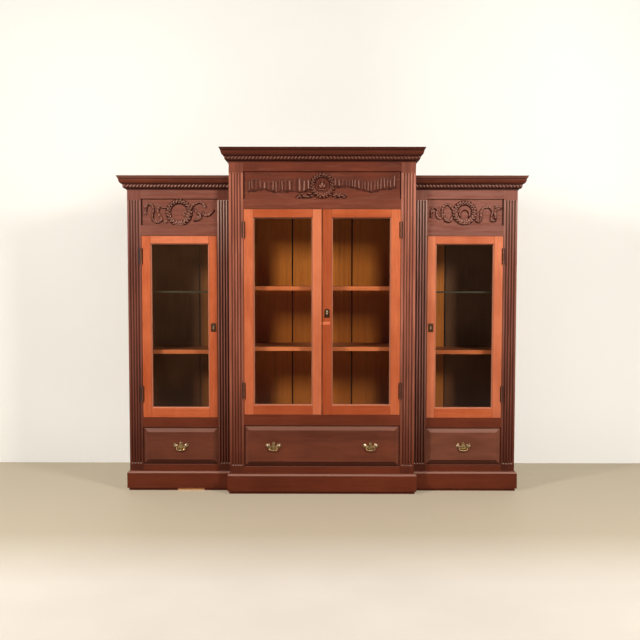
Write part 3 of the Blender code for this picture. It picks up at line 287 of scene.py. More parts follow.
class Recipe:
    """A finish put together node by node on object coordinates."""

    def __init__(self, name):
        self.material = bpy.data.materials.new(name)
        self.material.use_nodes = True
        self.tree = self.material.node_tree
        self.tree.nodes.clear()
        self.place = self.value("ShaderNodeTexCoord", out="Object")
        self.x, self.y, self.z = (self.part(self.place, letter) for letter in "XYZ")

    def add(self, kind, feed=(), **settings):
        """A new node. Its settings are assigned first, then each input is linked or given its value."""
        made = self.tree.nodes.new(kind)
        for name, value in settings.items():
            setattr(made, name, value)
        for socket, value in dict(feed).items():
            if isinstance(value, bpy.types.Node):
                value = Value(self, value.outputs[0])
            if isinstance(value, Value):
                self.tree.links.new(value.socket, made.inputs[socket])
            else:
                made.inputs[socket].default_value = value
        return made

    def value(self, kind, feed=(), out=0, **settings):
        return Value(self, self.add(kind, feed, **settings).outputs[out])

    def part(self, vector, letter):
        return self.value("ShaderNodeSeparateXYZ", {0: vector}, letter)

    def facing(self, letter, kind="Normal", source="ShaderNodeNewGeometry"):
        return self.part(self.value(source, out=kind), letter)

    def noise(self, scale, detail=3.0, distortion=0.0, along="", share=1.0):
        """Cloudy noise, drawn out along an axis by shrinking that axis to a share."""
        shrunk = {"Vector": self.place, "Scale": tuple(share if letter == along else 1.0 for letter in "XYZ")}
        place = self.value("ShaderNodeMapping", shrunk) if along else self.place
        feed = {"Vector": place, "Scale": scale, "Detail": detail, "Distortion": distortion}
        return self.value("ShaderNodeTexNoise", feed)

    def blend(self, share, first, second):
        return self.value("ShaderNodeMix", {0: share, 6: solid(first), 7: solid(second)}, 2, data_type="RGBA")

    def mixed(self, share, first, second):
        return self.add("ShaderNodeMixShader", {0: share, 1: first, 2: second})

    def shine(self, colour, roughness, height=None, strength=0.25, **constants):
        """A Principled shader with constants set on its own sockets, and a bump where a height is given."""
        shader = self.add("ShaderNodeBsdfPrincipled", {"Base Color": solid(colour), "Roughness": roughness})
        for socket, value in constants.items():
            shader.inputs[socket.replace("_", " ")].default_value = value
        if height is not None:
            bump = self.add("ShaderNodeBump", {"Height": height, "Strength": strength, "Distance": 0.0004})
            self.tree.links.new(bump.outputs["Normal"], shader.inputs["Normal"])
        return shader

    def close(self, shader):
        self.add("ShaderNodeOutputMaterial", {"Surface": shader})
        return self.material


class Wood(Recipe):
    """Polished wood that starts as plain grain and is tinted step by step."""

    def __init__(self, name, along, kind):
        super().__init__(name)
        self.woods = bpy.context.scene.bookcase_woods
        self.colour, self.height, self.tone = self.grain(
            along, getattr(self.woods, kind), getattr(self.woods, f"{kind}_grain"))

    def grain(self, along, pale, deep):
        """A plain-sawn board: slow drift, growth streaks and short dark pores, all drawn out along the grain."""
        streak = self.noise(85.0, 5.0, 0.4, along, 0.07)
        tone = self.noise(9.0, 2.0, 0.0, along, 0.07) * 0.55 + streak * 0.45 + (self.noise(5.0, 2.0) - 0.5) * 0.5
        pores = self.noise(620.0, 2.0, 0.0, along, 0.035).within(0.56, 0.70)
        colour = self.blend(tone.within(0.34, 0.66), deep, pale)
        return self.blend(pores * 0.45, colour, darker(deep, 0.45)), streak * 0.5 - pores, tone

    def raw(self, along, colour, share):
        """The colour of another wood's grain."""
        return self.grain(along, colour, darker(colour, share))[0]

    def tint(self, share, colour):
        self.colour = self.blend(share, self.colour, colour)

    def dust_sheen_and_shade(self, ledge_dust_and_sheen=0.45, under=0.60, steep=0.70):
        """Ledges that face up are painted paler: partly faded polish and dust, partly painted sheen. Faces that look
        down are painted dark as shade. steep is the upright share of the normal at which either is full."""
        level = self.facing("Z")
        self.tint(level.within(0.12, steep) * ledge_dust_and_sheen, self.woods.carcass_dust_and_sheen)
        self.tint(level.within(-0.12, -steep) * under, DEEP_RED)

    def finish(self, gloss=0.37, coat=0.05):
        """The bump of its grain, a gloss that wanders with the tone, and a thin coat of polish."""
        return self.close(self.shine(
            self.colour, self.tone * 0.16 + gloss, self.height, Coat_Weight=coat, Coat_Roughness=0.28,
            Specular_IOR_Level=0.20))


def case_wood(name, along):
    """Mahogany of the case, with painted shade: darker and redder towards the floor, where less light falls."""
    wood = Wood(name, along, "carcass")
    # Painted shade towards the floor
    wood.tint(wood.z.within(0.9, 0.1) * 0.30, wood.woods.carcass_grain)
    return wood


def carcass_wood(name, along, ledge_dust_and_sheen=0.60, steep=0.70, bare=0.0):
    """Red-brown mahogany of the case. bare is the share of raw wood on a strip of the left plinth's foot."""
    wood = case_wood(name, along)
    wood.tint(0.16, (0.300, 0.048, 0.014))
    # Ledges painted paler as dust and painted sheen, faces that look down painted dark as shade
    wood.dust_sheen_and_shade(ledge_dust_and_sheen, steep=steep)
    strip = wood.z.within(0.0132, 0.0128) * abs(wood.x + 0.647).within(0.067, 0.064)
    wood.tint(strip * bare, (0.820, 0.440, 0.200))
    wood.finish()


def cornice_wood(name, base, top, old):
    """Mahogany of a cornice. Its top fillet is darker with old polish on an old cornice, and paler with dust and
    painted sheen on a young one; the steps beside its bead, under its top fillet and along its top edge are dark with
    old polish and painted shade.
    """
    wood = Wood(name, "X", "carcass")
    wood.tint(old, wood.woods.carcass_grain)
    fillet = wood.z.within(top - 0.0135, top - 0.0125)
    wood.tint(fillet * max(old, 0.30), DEEP_RED if old > 0.4 else wood.woods.carcass_dust_and_sheen)
    # Ledges painted paler as dust and painted sheen, faces that look down painted dark as shade
    wood.dust_sheen_and_shade(0.35, 0.45)
    # Dark bands of old polish and painted shade beside the bead, under the top fillet and along the top edge
    for middle, half, most in ((base + 0.0145, 0.0140, 1.0), (top - 0.0145, 0.0030, 0.85), (top, 0.0020, 0.85)):
        wood.tint(abs(wood.z - middle).within(half, half - 0.0018) * most, DEEP_RED)
    wood.finish()


def fluted_wood(name, front_y, top, foot, start, dirt, pale, rubbed, head, lit, block):
    """Mahogany of a pilaster, plain on the side board behind its front. Between its flutes it is rubbed to a pale
    colour, partly wear and partly painted sheen, by the rubbed share, which fades away towards the floor, and by the
    head share above the flutes' top; near that top a painted highlight makes it paler still by the lit share. The
    flutes' ends at the foot carry a painted highlight, and the block under the flutes is darker by the block share.
    Dark old polish and painted shade lie in the flutes, from the start depth inwards."""
    wood = case_wood(name, "Z")
    level = wood.z

    def depth(near, far):
        return wood.y.within(front_y + near, front_y + far)

    # Wear and painted sheen between the flutes, fading towards the floor
    kept = (level.within(0.12, 0.75) * 0.92 + 0.08) * level.within(foot - 0.001, foot + 0.001)
    above = level.within(top - 0.001, top + 0.001)
    streak = wood.noise(70.0, 4.0, 0.0, "Z", 0.06).within(0.40, 0.62)
    share = (kept * rubbed + above * (head - rubbed)) * (streak * 0.55 + 0.70)
    near = depth(0.026, 0.024)
    wood.tint(share * near, pale)
    # Painted highlight near the top of the flutes
    wood.tint(level.within(1.12, 1.40) * (near - above) * lit, (0.600, 0.370, 0.295))
    # Ledges painted paler as dust and painted sheen, faces that look down painted dark as shade
    wood.dust_sheen_and_shade()
    # Old polish and painted shade in the flutes
    outside = depth(0.0062, 0.0060)
    hollow = depth(start, 0.0048) * outside * dirt
    wood.tint(hollow, DEEP_RED)
    # Painted highlight on the flutes' rounded ends at the foot
    low = level.within(foot + 0.0085, foot + 0.0030) * 0.75
    wood.tint(depth(0.0003, 0.0012) * outside * low, (0.420, 0.300, 0.240))
    wood.tint(level.within(foot + 0.001, foot - 0.001) * (near * block), (0.052, 0.010, 0.005))
    wood.tone = wood.tone + hollow * 1.5
    wood.finish(0.45, 0.0)


def carved_wood(name, faded, low_share, high_share, levels, crest, crest_wear_and_highlight):
    """Mahogany of the carving: the mesh's own attribute says where old polish and painted shade lie. It has faded
    towards another colour by the low share below the two levels and by the high share above them; where it darkens
    upwards, as on the centre, that is painted shade under the cornice. Red streaks run through it, and its crests are
    paler by some share, in the crest's colour, partly wear and partly painted highlight."""
    wood = case_wood(name, "X")
    # Faded by height; where the share falls upwards it is painted shade under the cornice
    wood.tint(wood.z.within(*levels) * (high_share - low_share) + low_share, faded)
    streak = wood.noise(80.0, 5.0, 0.3, "X", 0.09)
    wood.tint(streak.within(0.46, 0.64) * 0.46, (0.150, 0.026, 0.009))
    wood.tint(streak.within(0.44, 0.34) * 0.12, (0.400, 0.150, 0.095))
    hollow = wood.value("ShaderNodeAttribute", out="Fac", attribute_name="hollow")
    # Crests: wear and painted highlight
    wood.tint(hollow.within(0.05, 0.0) * crest_wear_and_highlight, crest)
    # Old polish and painted shade
    wood.tint(hollow.within(0.25, 0.95), DEEP_RED)
    # Ledges painted paler as dust and painted sheen, faces that look down painted dark as shade
    wood.dust_sheen_and_shade(0.30, 0.50)
    wood.tone = wood.tone + hollow * 1.2
    wood.finish(0.50, 0.0)


def door_wood(name, glass_middle, half_sight, front_y, free_x, tones):
    """Salmon cherry of a door: upright grain in the stiles, level grain in the rails, a dark line where they join.
    tones are those of the left stile, the right stile, the top rail and the bottom rail, darker and redder above 0
    and paler below it. Faces set back from the front, as the bevels round the glass, are painted paler as a reflection.
    Painted shade darkens the door towards the floor, in the gap at its free edge and on faces that look down."""
    wood = Wood(name, "Z", "door")
    woods, older, paler = wood.woods, (0.26, 0.036, 0.007), (0.86, 0.32, 0.17)
    level = wood.grain("X", woods.door, woods.door_grain)[0]
    left, right, top, bottom = (
        wood.blend(abs(tone), part, older if tone > 0 else paler)
        for part, tone in zip((wood.colour, wood.colour, level, level), tones))
    across = abs(wood.x - glass_middle[0])
    joint = half_sight + 0.0045
    stiles = wood.blend(wood.x > glass_middle[0], left, right)
    rails = wood.blend(wood.z > glass_middle[2], bottom, top)
    wood.colour = wood.blend(across.within(joint + 0.0001, joint - 0.0001), stiles, rails)
    wood.tint(abs(across - joint).within(0.0010, 0.0004), darker(woods.door_grain, 0.30))
    wood.tint(wood.noise(16.0, 3.0, 0.0, "Z", 0.35).within(0.45, 0.75) * 0.36, (0.34, 0.060, 0.014))
    # Painted shade towards the floor
    wood.tint(wood.z.within(1.1, 0.2) * 0.28, (0.40, 0.055, 0.010))
    # Painted shade in the gap at the free edge
    wood.tint(abs(wood.x - free_x).within(0.0032, 0.0014), (0.100, 0.016, 0.005))
    # Painted reflection on faces set back from the front, as the bevels round the glass
    wood.tint(wood.y.within(front_y + 0.0006, front_y + 0.0020) * 0.55, (0.62, 0.27, 0.17))
    # Painted shade on faces that look down
    wood.tint(wood.facing("Z").within(-0.3, -0.6) * 0.6, woods.carcass_underside_shade)
    wood.finish(0.33)


def shelf_wood(name):
    """Shelf wood, painted brighter than its wood as the light on its front edge; its top is painted darker."""
    wood = Wood(name, "X", "shelf")
    # The top is painted darker
    wood.tint(wood.facing("Z").within(0.5, 0.8) * 0.78, (0.150, 0.050, 0.022))
    wood.finish(0.34)


def board_wood(name):
    """Golden interior boards: each board has its own tone and the seams between them are dark; painted shade makes the
    middle board darker on its right half and the left wing's board beside the centre darkest. Darker wood stands behind
    the wings, painted shade lies between the shelves and low down, and the back of the case is raw wood."""
    wood = Wood(name, "Z", "interior")
    x, woods = wood.x, wood.woods
    inner, wing, outer = 0.155, 0.4475, 0.640
    # Each board its own tone, with painted shade on the middle board's right half and, most, beside the left wing
    share = (x > -inner) * 0.10 + 0.05 + (x > inner) * -0.05 + (x > wing) * 0.20 + (x < -wing) * 0.90
    share = share + x.within(-0.02, 0.06) * 0.30
    share = share + wood.noise(70.0, 3.0, 0.5, "Z", 0.03).within(0.50, 0.66) * 0.30
    wood.tint(share, darker(woods.interior_grain, 0.6))
    dark = wood.raw("Z", woods.outer_board, 0.6)
    wood.tint(x.within(outer - 0.0005, outer + 0.0005), dark)
    wood.tint(x.within(-0.565, -outer), dark)
    middle = abs(x)
    for seam in (inner, outer):
        wood.tint(abs(middle - seam).within(0.0044, 0.0030), (0.004, 0.002, 0.001))
    # Painted shade between the shelves and low down
    painted_shelf_shade = abs(wood.z - 0.835).within(0.150, 0.120) * (middle < wing)
    wood.tint((painted_shelf_shade * 0.42).by("MAXIMUM", wood.z.within(0.70, 0.67) * 0.26), (0.230, 0.052, 0.007))
    wood.tint(wood.facing("Y", "True Normal").within(0.4, 0.6), wood.raw("Z", woods.tray, 0.6))
    wood.finish(0.42)


def drawer_wood(name, front_y, faded, ledge_dust_and_sheen):
    """A polished front and, behind it, an unpolished tray. Its side bevels and ledges are painted paler, partly dust
    and partly painted sheen, and its faces that look down are painted dark as shade.
    """
    wood = Wood(name, "X", "carcass")
    wood.tint(faded, (0.300, 0.105, 0.062))
    wood.tint(wood.noise(15.0, 4.0, 0.4, "X", 0.30).within(0.44, 0.66) * 0.40, (0.100, 0.022, 0.009))
    # Painted sheen on the side bevels
    wood.tint(abs(wood.facing("X")).within(0.15, 0.30) * 0.05, wood.woods.carcass_dust_and_sheen)
    # Ledges painted paler as dust and painted sheen, faces that look down painted dark as shade
    wood.dust_sheen_and_shade(ledge_dust_and_sheen, 0.88, 0.32)
    wood.tint(wood.y.within(front_y + 0.0236, front_y + 0.0240), wood.raw("X", wood.woods.tray, 0.7))
    wood.finish()


def metal(name, bright, dull, roughness):
    """Old metal: brown tarnish in clouds and specks over a rubbed colour, and a hand-worked unevenness."""
    recipe = Recipe(name)
    cloud = recipe.noise(140.0, 4.0)
    dirt = (cloud + recipe.noise(900.0, 2.0) * 0.35).within(0.60, 0.82)
    colour = recipe.blend(dirt * 0.8, bright, dull)
    recipe.close(recipe.shine(colour, dirt * 0.25 + roughness, cloud, 0.15, Metallic=1.0))


def dull_paint(name, colour, roughness):
    """A dark unpolished finish with a little unevenness, as painted shade in key holes and in the strips beside the
    hinges.
    """
    recipe = Recipe(name)
    share = recipe.noise(300.0, 2.0).within(0.4, 0.7)
    recipe.close(recipe.shine(recipe.blend(share, colour, darker(colour, 1.6)), roughness))


def clear_glass(name, edge, dust=0.0, clear=0.91):
    """Window glass: light passes straight through, a thin mirror film follows the viewing angle, edges are green, and
    a brown haze of old dust lies on it, most of it toward the top and in soft clouds."""
    recipe = Recipe(name)
    through = recipe.add("ShaderNodeBsdfTransparent", {"Color": (clear, clear + 0.01, clear - 0.01, 1.0)})
    film = recipe.add("ShaderNodeBsdfGlossy", {"Color": (0.9, 0.9, 0.9, 1.0), "Roughness": 0.03})
    near_face = recipe.value("ShaderNodeNewGeometry", out="Backfacing") < 0.5
    pane = recipe.mixed(recipe.value("ShaderNodeFresnel", {"IOR": 1.32}) * near_face, through, film)
    haze = (recipe.noise(9.0, 4.0).within(0.30, 0.70) + recipe.z.within(0.70, 1.22) + 0.6) * (dust / 1.6)
    pane = recipe.mixed(haze, pane, recipe.add("ShaderNodeBsdfDiffuse", {"Color": (0.640, 0.270, 0.110, 1.0)}))
    cut = abs(recipe.facing(edge, "Normal", "ShaderNodeTexCoord")).within(0.4, 0.6)
    sawn = recipe.shine(bpy.context.scene.bookcase_fittings.glass_edge, 0.3)
    recipe.close(recipe.mixed(cut, pane, sawn))


def finish(name):
    """A finish made by the first operator, by its name."""
    made = bpy.data.materials.get(name)
    if made is None:
        raise RuntimeError(f"mix the finishes first: {name} is missing")
    return made


def dress(node, name):
    """Gives a CAD node its finish in every slot."""
    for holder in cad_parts[node].material_slots:
        holder.material = finish(name)


def span(node):
    """A CAD node's low corner, high corner, middle and half size."""
    low, high = (np.array(corner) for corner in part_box(node))
    return low, high, (low + high) / 2, (high - low) / 2


def stack(*parts):
    """Arrays of any matching shapes as the coordinates of points."""
    return np.stack(np.broadcast_arrays(*parts), -1)


def circle(count):
    return 2 * np.pi * np.arange(count) / count


def heading(turn):
    """Directions in the plane of the front."""
    return stack(np.cos(turn), 0.0, np.sin(turn))


def unit(vectors):
    return vectors / np.linalg.norm(vectors, axis=-1, keepdims=True)


class Skin:
    """A surface as whole arrays: points (n, 3), quads, triangles, and each point's old polish and painted shade, 0 to
    1.
    """

    def __init__(self, points, quads, triangles=(), hollow=None):
        self.points = np.asarray(points, float).reshape(-1, 3)
        self.quads = np.asarray(quads, int).reshape(-1, 4)
        self.triangles = np.asarray(triangles, int).reshape(-1, 3)
        self.hollow = np.zeros(len(self.points)) if hollow is None else np.asarray(hollow, float).reshape(-1)

    def copies(self, frames, places):
        """One copy for each 3x3 frame and place: frame times point, plus place."""
        points = np.einsum("nij,kj->nki", frames, self.points) + places[:, None, :]
        step = (len(self.points) * np.arange(len(places)))[:, None, None]
        return Skin(points, self.quads + step, self.triangles + step, np.tile(self.hollow, len(places)))


def joined(skins):
    """Several skins in one, each with its face indices moved past the points before it."""
    starts = np.cumsum([0] + [len(skin.points) for skin in skins[:-1]])
    return Skin(
        np.concatenate([skin.points for skin in skins]),
        np.concatenate([skin.quads + start for skin, start in zip(skins, starts)]),
        np.concatenate([skin.triangles + start for skin, start in zip(skins, starts)]),
        np.concatenate([skin.hollow for skin in skins]))


def ring_quads(rows, columns, wrap_rows=False):
    """Quads between neighbouring rings of points stored row by row; each ring closes on itself."""
    row, column = np.meshgrid(np.arange(rows if wrap_rows else rows - 1), np.arange(columns), indexing="ij")
    after, beside = (row + 1) % rows, (column + 1) % columns
    return stack(row * columns + column, row * columns + beside, after * columns + beside, after * columns + column)


def closed_skin(rings, hollow=None):
    """Rings (n, m, 3) joined by quads, with a fan of triangles to the middle of the first and the last ring."""
    rows, columns = rings.shape[:2]
    points = np.concatenate([rings.reshape(-1, 3), rings[:1].mean(axis=1), rings[-1:].mean(axis=1)])
    side = np.arange(columns)
    beside = (side + 1) % columns
    last_row = (rows - 1) * columns
    fans = stack(rows * columns, beside, side), stack(rows * columns + 1, last_row + side, last_row + beside)
    deep = None if hollow is None else np.concatenate([np.ravel(hollow), (0.0, 0.0)])
    return Skin(points, ring_quads(rows, columns), np.concatenate(fans), deep)


def relief(x, z, y, back_y, hollow=None):
    """A slab whose face is the grid (x, y, z) and whose back is the same grid laid flat at back_y, joined all round."""
    face = stack(x, y, z)
    rows, columns = face.shape[:2]
    back = stack(face[..., 0], back_y, face[..., 2])
    count = rows * columns
    index = np.arange(count).reshape(rows, columns)
    front_quads = index[:-1, :-1].reshape(-1, 1) + np.array((0, 1, columns + 1, columns))
    rim = np.concatenate([index[0, :-1], index[:-1, -1], index[-1, :0:-1], index[:0:-1, 0]])
    after = np.roll(rim, -1)
    skirt = stack(rim, after, after + count, rim + count)
    deep = None if hollow is None else np.concatenate([hollow.reshape(-1), np.zeros(count)])
    return Skin(np.concatenate([face, back]), np.concatenate([front_quads, front_quads[:, ::-1] + count, skirt]),
                (), deep)


def smooth(points, per_span):
    """A Catmull-Rom curve through the points: for each span and share t, the usual cubic of its four neighbours."""
    points = np.asarray(points, float)
    padded = np.concatenate([points[:1], points, points[-1:]])
    share = np.linspace(0, len(points) - 1, per_span * (len(points) - 1) + 1)
    place = np.minimum(share.astype(int), len(points) - 2)
    t = (share - place)[:, None]
    a, b, c, d = (padded[place + step] for step in range(4))
    return 0.5 * (2 * b + (c - a) * t + (2 * a - 5 * b + 4 * c - d) * t ** 2 + (3 * b - a - 3 * c + d) * t ** 3)


def leaf(rows=7, sides=10):
    """A leaf along x from -1 to 1: width (1 - x2)^0.65 times a taper, a crowned face with a groove along its rib."""
    x = -np.cos(np.pi * np.arange(1, rows) / rows)[:, None]
    turn = circle(sides)[None, :]
    groove = np.where(np.sin(turn) > 0.1, 1 - 0.5 * np.exp(-(np.cos(turn) / 0.25) ** 2), 1.0)
    y = (1 - x ** 2) ** 0.65 * (1 - 0.25 * x) * np.cos(turn)
    z = np.sqrt(1 - x ** 2) * np.sin(turn) * groove
    # Painted shade on the leaf's back and in its groove; its crown is left for the crests' colour
    skin = closed_skin(stack(x, y, z), np.clip(1.00 - 1.3 * z, 0, 1))
    skin.points[-2:] = (-1.0, 0.0, 0.0), (1.0, 0.0, 0.0)
    return skin


def berry(rows=6, sides=10):
    """A ball of radius 1: rings of radius sin at height cos, closed at both poles; its lower half carries painted
    shade.
    """
    down = (np.pi * np.arange(1, rows) / rows)[:, None]
    turn = circle(sides)
    rings = stack(np.sin(down) * np.cos(turn), np.sin(down) * np.sin(turn), np.cos(down))
    skin = closed_skin(rings, np.clip(0.65 - 0.9 * rings[..., 2], 0, 1))
    skin.points[-2:] = (0.0, 0.0, 1.0), (0.0, 0.0, -1.0)
    return skin


def leaves_towards(along, tilt, length, width, height, places):
    """Leaves in the frieze plane: long axis along, tipped up from it by tilt, face towards the viewer."""
    rise = np.cos(tilt) * FRONT - np.sin(tilt) * along
    lead = np.cos(tilt) * along + np.sin(tilt) * FRONT
    size = stack(length, width, height)[..., None, :] / 2
    return leaf().copies(np.stack([lead, np.cross(rise, lead), rise], -1) * size, places)


def band(route, width, twist, thickness, ripple=0.0, scallop=0.0, sides=12, per_span=9):
    """A ribbon carried along a smooth route: an oval section, turned about the route by the twist at each step,
    raised and sunk across its width by ripples, wider and narrower by scallops, and narrowed to nothing at both
    ends."""
    centre = smooth(route, per_span)
    count = len(centre)
    across = unit(np.cross(unit(np.gradient(centre, axis=0)), FRONT))
    share = np.linspace(0, 1, count)
    turn = circle(sides)[None, :]
    ends = np.sqrt(np.clip(1 - np.abs(2 * share - 1) ** 9, 0.02, 1))[:, None]
    lean = twist(share)[:, None]
    wave = np.sin(2 * np.pi * np.arange(count) / 5)[:, None]
    wide = ends * width(share)[:, None] / 2 * np.cos(turn) * (1 + scallop * wave)
    thick = ends * thickness / 2 * np.sin(turn)
    sideways = wide * np.cos(lean) - thick * np.sin(lean)
    forward = wide * np.sin(lean) + thick * np.cos(lean) + ripple * wave * (0.5 + np.cos(turn) / 2)
    rings = centre[:, None] + across[:, None] * sideways[..., None] + FRONT * forward[..., None]
    # Painted shade on the band's back, towards the ground
    return closed_skin(rings, np.clip(0.62 - forward / 0.0048, 0.03, 1))


def add_piece(name, skins, finish_name, body, sharp=40.0, stands_for=()):
    """Puts skins into a mesh at its place, turns its faces outwards and lets it ride on a body."""
    skin = joined(skins)
    mesh = bpy.data.meshes.new(name)
    mesh.from_pydata(skin.points.tolist(), [], skin.quads.tolist() + skin.triangles.tolist())
    kept = mesh.attributes.new("hollow", "FLOAT", "POINT")
    kept.data.foreach_set("value", skin.hollow.astype(np.float32))
    work = bmesh.new()
    work.from_mesh(mesh)
    bmesh.ops.remove_doubles(work, verts=work.verts, dist=1e-6)
    bmesh.ops.recalc_face_normals(work, faces=work.faces)
    work.to_mesh(mesh)
    work.free()
    mesh.shade_smooth()
    mesh.set_sharp_from_angle(angle=math.radians(sharp))
    mesh.materials.append(finish(finish_name))
    piece = bpy.data.objects.new(name, mesh)
    bpy.context.scene.collection.objects.link(piece)
    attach(piece, body)
    if stands_for:
        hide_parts(*stands_for)


def carve(section, part, skins, sharp=75.0, stands_for=()):
    """A piece of a frieze."""
    add_piece(f"{section}_frieze_{part}", skins, f"{section} carved mahogany", "case", sharp,
              stands_for)


def field_of(section):
    """The sunk field of a frieze: its corners, middle, levels and ground, from the CAD board."""
    low, high, middle, _ = span(f"{section}_frieze")
    bottom, top = FIELD_LEVELS[section]
    return {"low": low, "high": high, "middle": np.array((middle[0], 0.0, (bottom + top) / 2)), "bottom": bottom,
            "top": top, "ground": low[1] + FIELD_DEPTH}


def on_field(place, points, lift):
    """Points (across, up) from the field's middle as points in space, standing proud of the ground by lift."""
    flat = np.asarray(points, float)
    return place["middle"] + stack(flat[:, 0], place["ground"] - lift, flat[:, 1])


def spots_along(route, radius, per_span=5):
    """Round spots that follow a smooth route."""
    return stack(*smooth(route, per_span).T, radius)


def ring_spots(radius, tube, count=64):
    """Round spots that follow a ring."""
    turn = circle(count)
    return stack(radius * np.cos(turn), radius * np.sin(turn), tube)


def frieze_board(place, columns, tracks, sides, shade=0.0022):
    """The board behind the carving: level rails, a hollow edge down to the sunk field, and a field worked by hand,
    whose ground rises and falls by a fraction of a millimetre as a product of sines. Old polish and painted shadow lie
    beside the carving's round spots (across, up, radius), moved down by shade so that most of it is painted shadow just
    below, and painted shadow of the recess lies at the sides over the two widths given: it falls from 1 to 0 over a few
    millimetres."""
    low, high, bottom, top = (place[key] for key in ("low", "high", "bottom", "top"))
    edge = 0.0016
    levels = np.concatenate([
        (low[2], bottom - edge, bottom, bottom + 0.001), np.linspace(bottom + 0.003, top - 0.003, 72),
        (top - 0.001, top, top + edge, high[2])])
    x, z = np.meshgrid(np.linspace(low[0], high[0], columns), levels)
    inside = (z > bottom) & (z < top)
    wave = np.sin(x * 310 + 2 * np.sin(z * 170)) * np.sin(z * 290 + 1.5 * np.sin(x * 130))
    depth = np.where(inside, FIELD_DEPTH + 0.00035 * wave, 0.0)
    depth = np.where((np.abs(z - bottom) < 1e-9) | (np.abs(z - top) < 1e-9), FIELD_DEPTH * 0.8, depth)
    # shade moves the marks down: painted shadow just below the carving
    across, up = x - place["middle"][0], z - place["middle"][2] + shade
    gap = (np.hypot(across[..., None] - tracks[:, 0], up[..., None] - tracks[:, 1]) - tracks[:, 2]).min(axis=-1)
    rough = 1 + 0.35 * np.sin(x * 510 + 3 * np.sin(z * 330))
    polish_and_shadow = np.clip(1.0 - gap / (0.0042 * rough), 0, 1)
    # Painted shadow of the recess's sides on the field
    for wall, reach in zip((low[0], high[0]), sides):
        polish_and_shadow = np.maximum(polish_and_shadow, np.clip(1.6 * (1 - np.abs(x - wall) / reach), 0, 1))
    return relief(x, z, low[1] + depth, high[1], np.maximum(polish_and_shadow * inside, np.where(inside, 0.12, 0.06)))


def wreath(place, carving, radius, seed):
    """A laurel wreath: three rows of leaves round a ring, outer, inner and top, each leaf turned from the ring's own
    direction by its row's angle, with a berry between every two leaves of the top row. The ring itself is an oval
    section carried round a circle, mostly sunk in the ground."""
    turn, angle = circle(72)[:, None], circle(10)
    out = radius + 0.0070 * np.cos(angle)
    rings = stack(out * np.cos(turn), -0.0045 * np.sin(angle), out * np.sin(turn))
    ground = place["middle"] + (0.0, place["ground"], 0.0)
    # The ring is dark all over with old polish and painted shade under the leaves
    skins = [Skin(rings + ground, ring_quads(72, 10, wrap_rows=True), (), np.full(720, 1.0))]
    rng = np.random.default_rng(seed)
    count = carving.wreath_leaves
    for offset, swing, tilt, phase in ((0.75, 0.62, 0.15, 0.0), (-0.75, -0.62, 0.15, 0.5), (0.05, 0.0, 0.35, 0.25)):
        turn = circle(count) + 2 * np.pi * phase / count + rng.normal(0, 0.02, count)
        heavy = 1 + 0.16 * -np.sin(turn)
        outward = heading(turn)
        run = heading(turn + np.pi / 2) * -np.sign(np.cos(turn) + 1e-9)[:, None]
        along = unit(run * -np.cos(swing) + outward * np.sin(swing))
        lift = 0.0048 if offset * offset > 0.1 else 0.0092
        places = ground + outward * (radius + offset * WREATH_TUBE * heavy)[:, None] + lift * FRONT
        size = carving.leaf_length * heavy * rng.uniform(0.92, 1.08, count)
        skins.append(leaves_towards(along, tilt, size, size * 0.54, size * 0.42, places))
    turn = circle(count) + 1.5 * np.pi / count
    size = 0.0026 * (1 + 0.3 * -np.sin(turn))
    skins.append(berry().copies(FACING * size[:, None, None], ground + heading(turn) * radius + 0.0095 * FRONT))
    return skins


def leaf_spray(place, points, directions, length, lift=0.003):
    """Loose leaves at (across, up) points, each running in its own direction."""
    return leaves_towards(heading(directions), 0.15, length, length * 0.45, length * 0.34,
                          on_field(place, points, lift))


def berries(place, points, radius, lift=0.003):
    """Round berries at (across, up) points."""
    sizes = np.broadcast_to(radius, len(points))[:, None, None]
    return berry().copies(FACING * sizes, on_field(place, points, lift))


def ribbon_scroll(place, carving, route, seed):
    """A wing's ribbon: a band that twists to and fro as it goes, with berries strung along it."""
    rng = np.random.default_rng(seed)
    phase, turns = rng.uniform(0, 6.28), 0.42 * len(route)
    skin = band(
        on_field(place, route, 0.0052), lambda s: carving.ribbon_width * (0.82 + 0.18 * np.cos(9 * s + phase)),
        lambda s: 0.78 * np.sin(np.pi * turns * s + phase), 0.0050, 0.0024, 0.14)
    knots = smooth(route, 2)[1::3]
    return [skin, berries(place, knots, rng.uniform(0.0020, 0.0036, len(knots)), 0.0080)]


